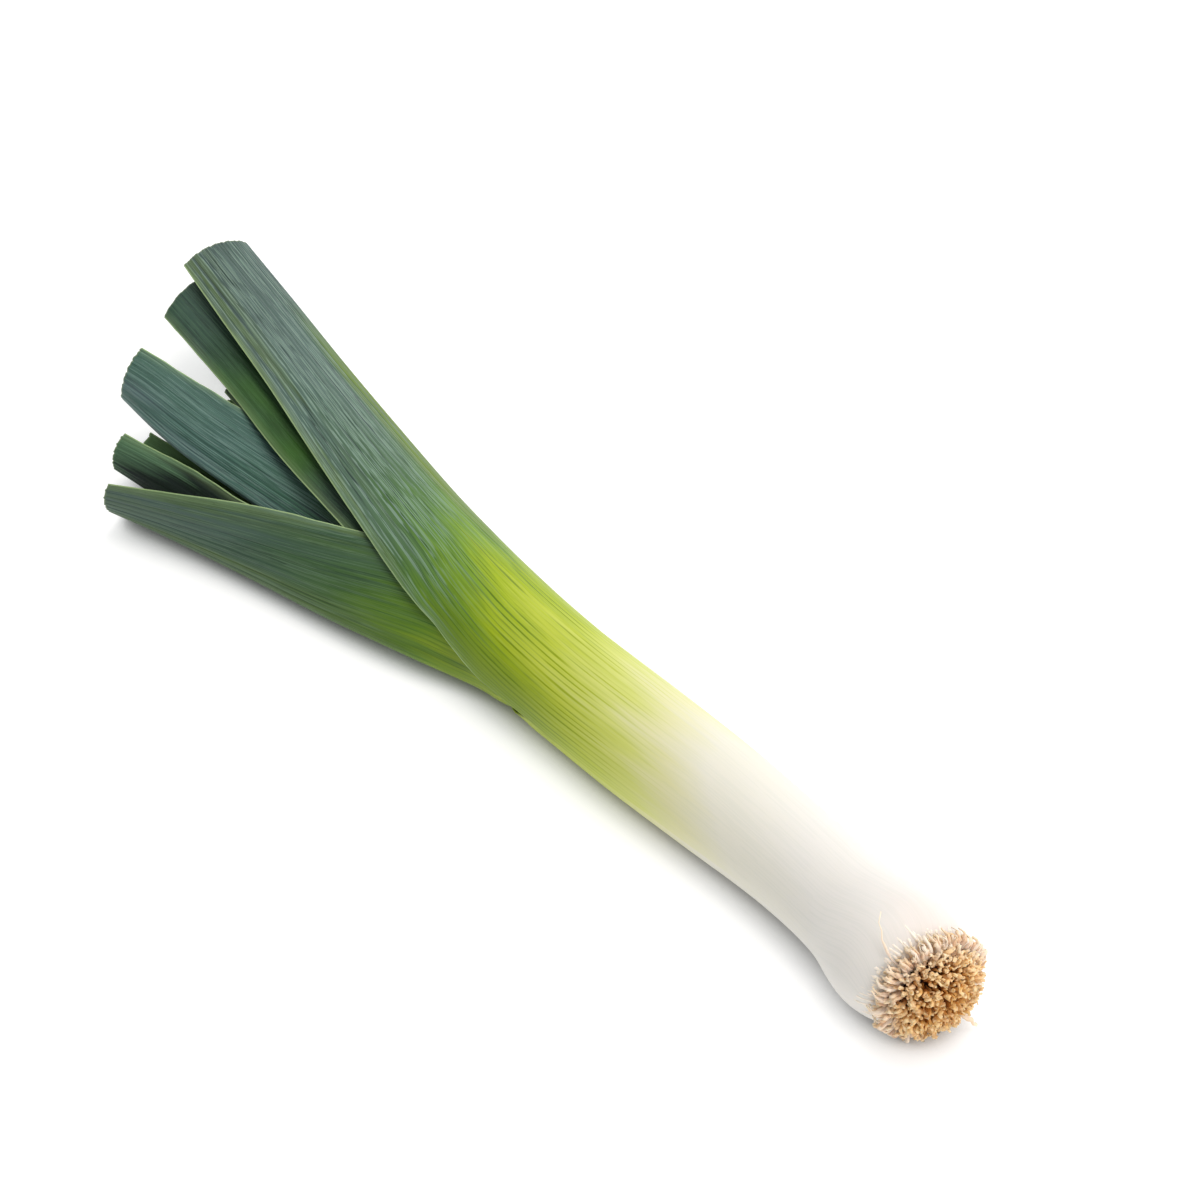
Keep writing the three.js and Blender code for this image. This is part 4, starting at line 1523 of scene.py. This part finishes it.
    def add_streaks(self) -> None:
        """Add the finest roots, which cling to the bulb's shoulder and fade into it."""
        random = self.random
        for i in range(self.streak_count):
            angle = 2 * math.pi * (i + random.random()) / self.streak_count
            start, length = random.uniform(*self.streak_start), random.uniform(*self.streak_length)
            drift = random.normal(0, 0.04)
            radius = random.uniform(*self.streak_radius)
            path = [
                OUTLINE.on_skin(start + length * t, angle + drift * t, -radius * (0.3 + 0.62 * t))
                for t in np.linspace(0.0, 1.0, self.rings)
            ]
            self.strand(np.array(path), StrandLook(radius, random.random(), 1.0, 0.5), radius)

    def add_strays(self) -> None:
        """Add the two longer roots that stray from the tuft."""
        for spots, radius, rim in STRAYS:
            points = np.stack([self.at(out, across, math.radians(angle)) for out, across, angle in spots])
            path = self.crimped(points, 0.3)
            self.strand(path, StrandLook(radius, 0.5, rim, 0.55, 0.8), radius)

    def dress(self) -> bpy.types.Object:
        """Make the tuft's piece, in place of its solid.

        Returns:
            The piece.
        """
        self.add_core()
        self.add_stubs()
        self.add_rim()
        self.add_streaks()
        self.add_strays()
        piece = self.plan.build(self.name + "_fibres", DriedRoot().build())
        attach(piece, BODY)
        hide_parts(self.name)
        LOG.info("%s: %d faces", piece.name, len(piece.data.polygons))
        return piece


# ------------------------------------------------------------------ table, light and camera


@dataclass(frozen=True)
class Lamp:
    """A square area light that faces the leek."""

    name: str
    at: tuple[float, float, float]  # metres
    size: float  # metres
    watts: float
    colour: str

    def add(self) -> None:
        """Add the light."""
        lamp = bpy.data.lights.new(self.name, "AREA")
        lamp.size, lamp.energy, lamp.color = self.size, self.watts, linear(self.colour)[:3]
        light = bpy.data.objects.new(self.name, lamp)
        light.location = self.at
        light.rotation_euler = (-Vector(self.at)).to_track_quat("-Z", "Y").to_euler()
        bpy.context.scene.collection.objects.link(light)


@dataclass(frozen=True)
class Studio:
    """A pale table, soft daylight from one side, and the camera."""

    camera_at: tuple[float, float, float] = (624.72, -508.06, 704.30)  # mm
    azimuth: float = 48.45  # degrees
    elevation: float = 40.0
    view_angle: float = 22.0
    clip: Span = (0.05, 20.0)  # metres
    table_size: float = 6.0  # metres
    lamps: tuple[Lamp, ...] = (
        Lamp("key", (0.0, 0.25, 1.6), 0.9, 11.2, "fffaf4"),
        Lamp("fill", (1.0, -0.05, 0.4), 0.5, 2.5, "fff8ee"),
    )
    sky: str = "fbfcff"
    sky_strength: float = 0.79  # sideways
    sky_lean: float = 0.5  # how much brighter it is towards +Y, and darker towards -Y

    def add_table(self) -> None:
        """Add the table as a stage."""
        half = self.table_size / 2
        mesh = bpy.data.meshes.new("table")
        corners = [(-half, -half, 0), (half, -half, 0), (half, half, 0), (-half, half, 0)]
        mesh.from_pydata(corners, [], [(0, 1, 2, 3)])
        mesh.materials.append(PaleTable().build())
        table = bpy.data.objects.new("table", mesh)
        bpy.context.scene.collection.objects.link(table)

    def add_sky(self) -> None:
        """Light the scene from all round, more from the far side."""
        world = bpy.data.worlds.new("studio")
        world.use_nodes = True
        tree = world.node_tree
        tree.nodes.clear()
        towards = add_node(tree, "TexCoord").outputs["Generated"]
        far = add_node(tree, "SeparateXYZ", {}, {"Vector": towards}).outputs["Y"]
        terms = {0: far, 1: self.sky_lean, 2: self.sky_strength}
        bright = add_node(tree, "Math", {"operation": "MULTIPLY_ADD"}, terms).outputs[0]
        links = {"Color": linear(self.sky), "Strength": bright}
        background = add_node(tree, "Background", {}, links).outputs["Background"]
        add_node(tree, "OutputWorld", {}, {"Surface": background})
        bpy.context.scene.world = world

    def add_camera(self) -> None:
        """Add the camera and make it the scene's."""
        a, e = math.radians(self.azimuth), math.radians(self.elevation)
        back = Vector((math.sin(a) * math.cos(e), -math.cos(a) * math.cos(e), math.sin(e)))
        right = Vector((math.cos(a), math.sin(a), 0.0))
        up = back.cross(right)
        data = bpy.data.cameras.new("camera")
        data.sensor_fit = "HORIZONTAL"
        data.angle = math.radians(self.view_angle)
        data.clip_start, data.clip_end = self.clip
        camera = bpy.data.objects.new("camera", data)
        turn = Matrix((right, up, back)).transposed().to_4x4()
        camera.matrix_world = Matrix.Translation(Vector(self.camera_at) * MM) @ turn
        bpy.context.scene.collection.objects.link(camera)
        bpy.context.scene.camera = camera

    def build(self) -> None:
        """Add everything that isn't the leek."""
        self.add_camera()
        self.add_table()
        self.add_sky()
        for lamp in self.lamps:
            lamp.add()
        settings = bpy.context.scene.view_settings
        settings.view_transform, settings.look = "Standard", "None"


def write_sizes() -> None:
    """Update the view layer."""

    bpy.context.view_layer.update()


def main() -> None:
    """Build the leek and its studio."""
    logging.basicConfig(level=logging.INFO, format="%(name)s: %(message)s")
    Studio().build()
    for leaf in LEAVES:
        leaf.dress()
    RootTuft().dress()
    write_sizes()


if __name__ == "__main__":
    main()
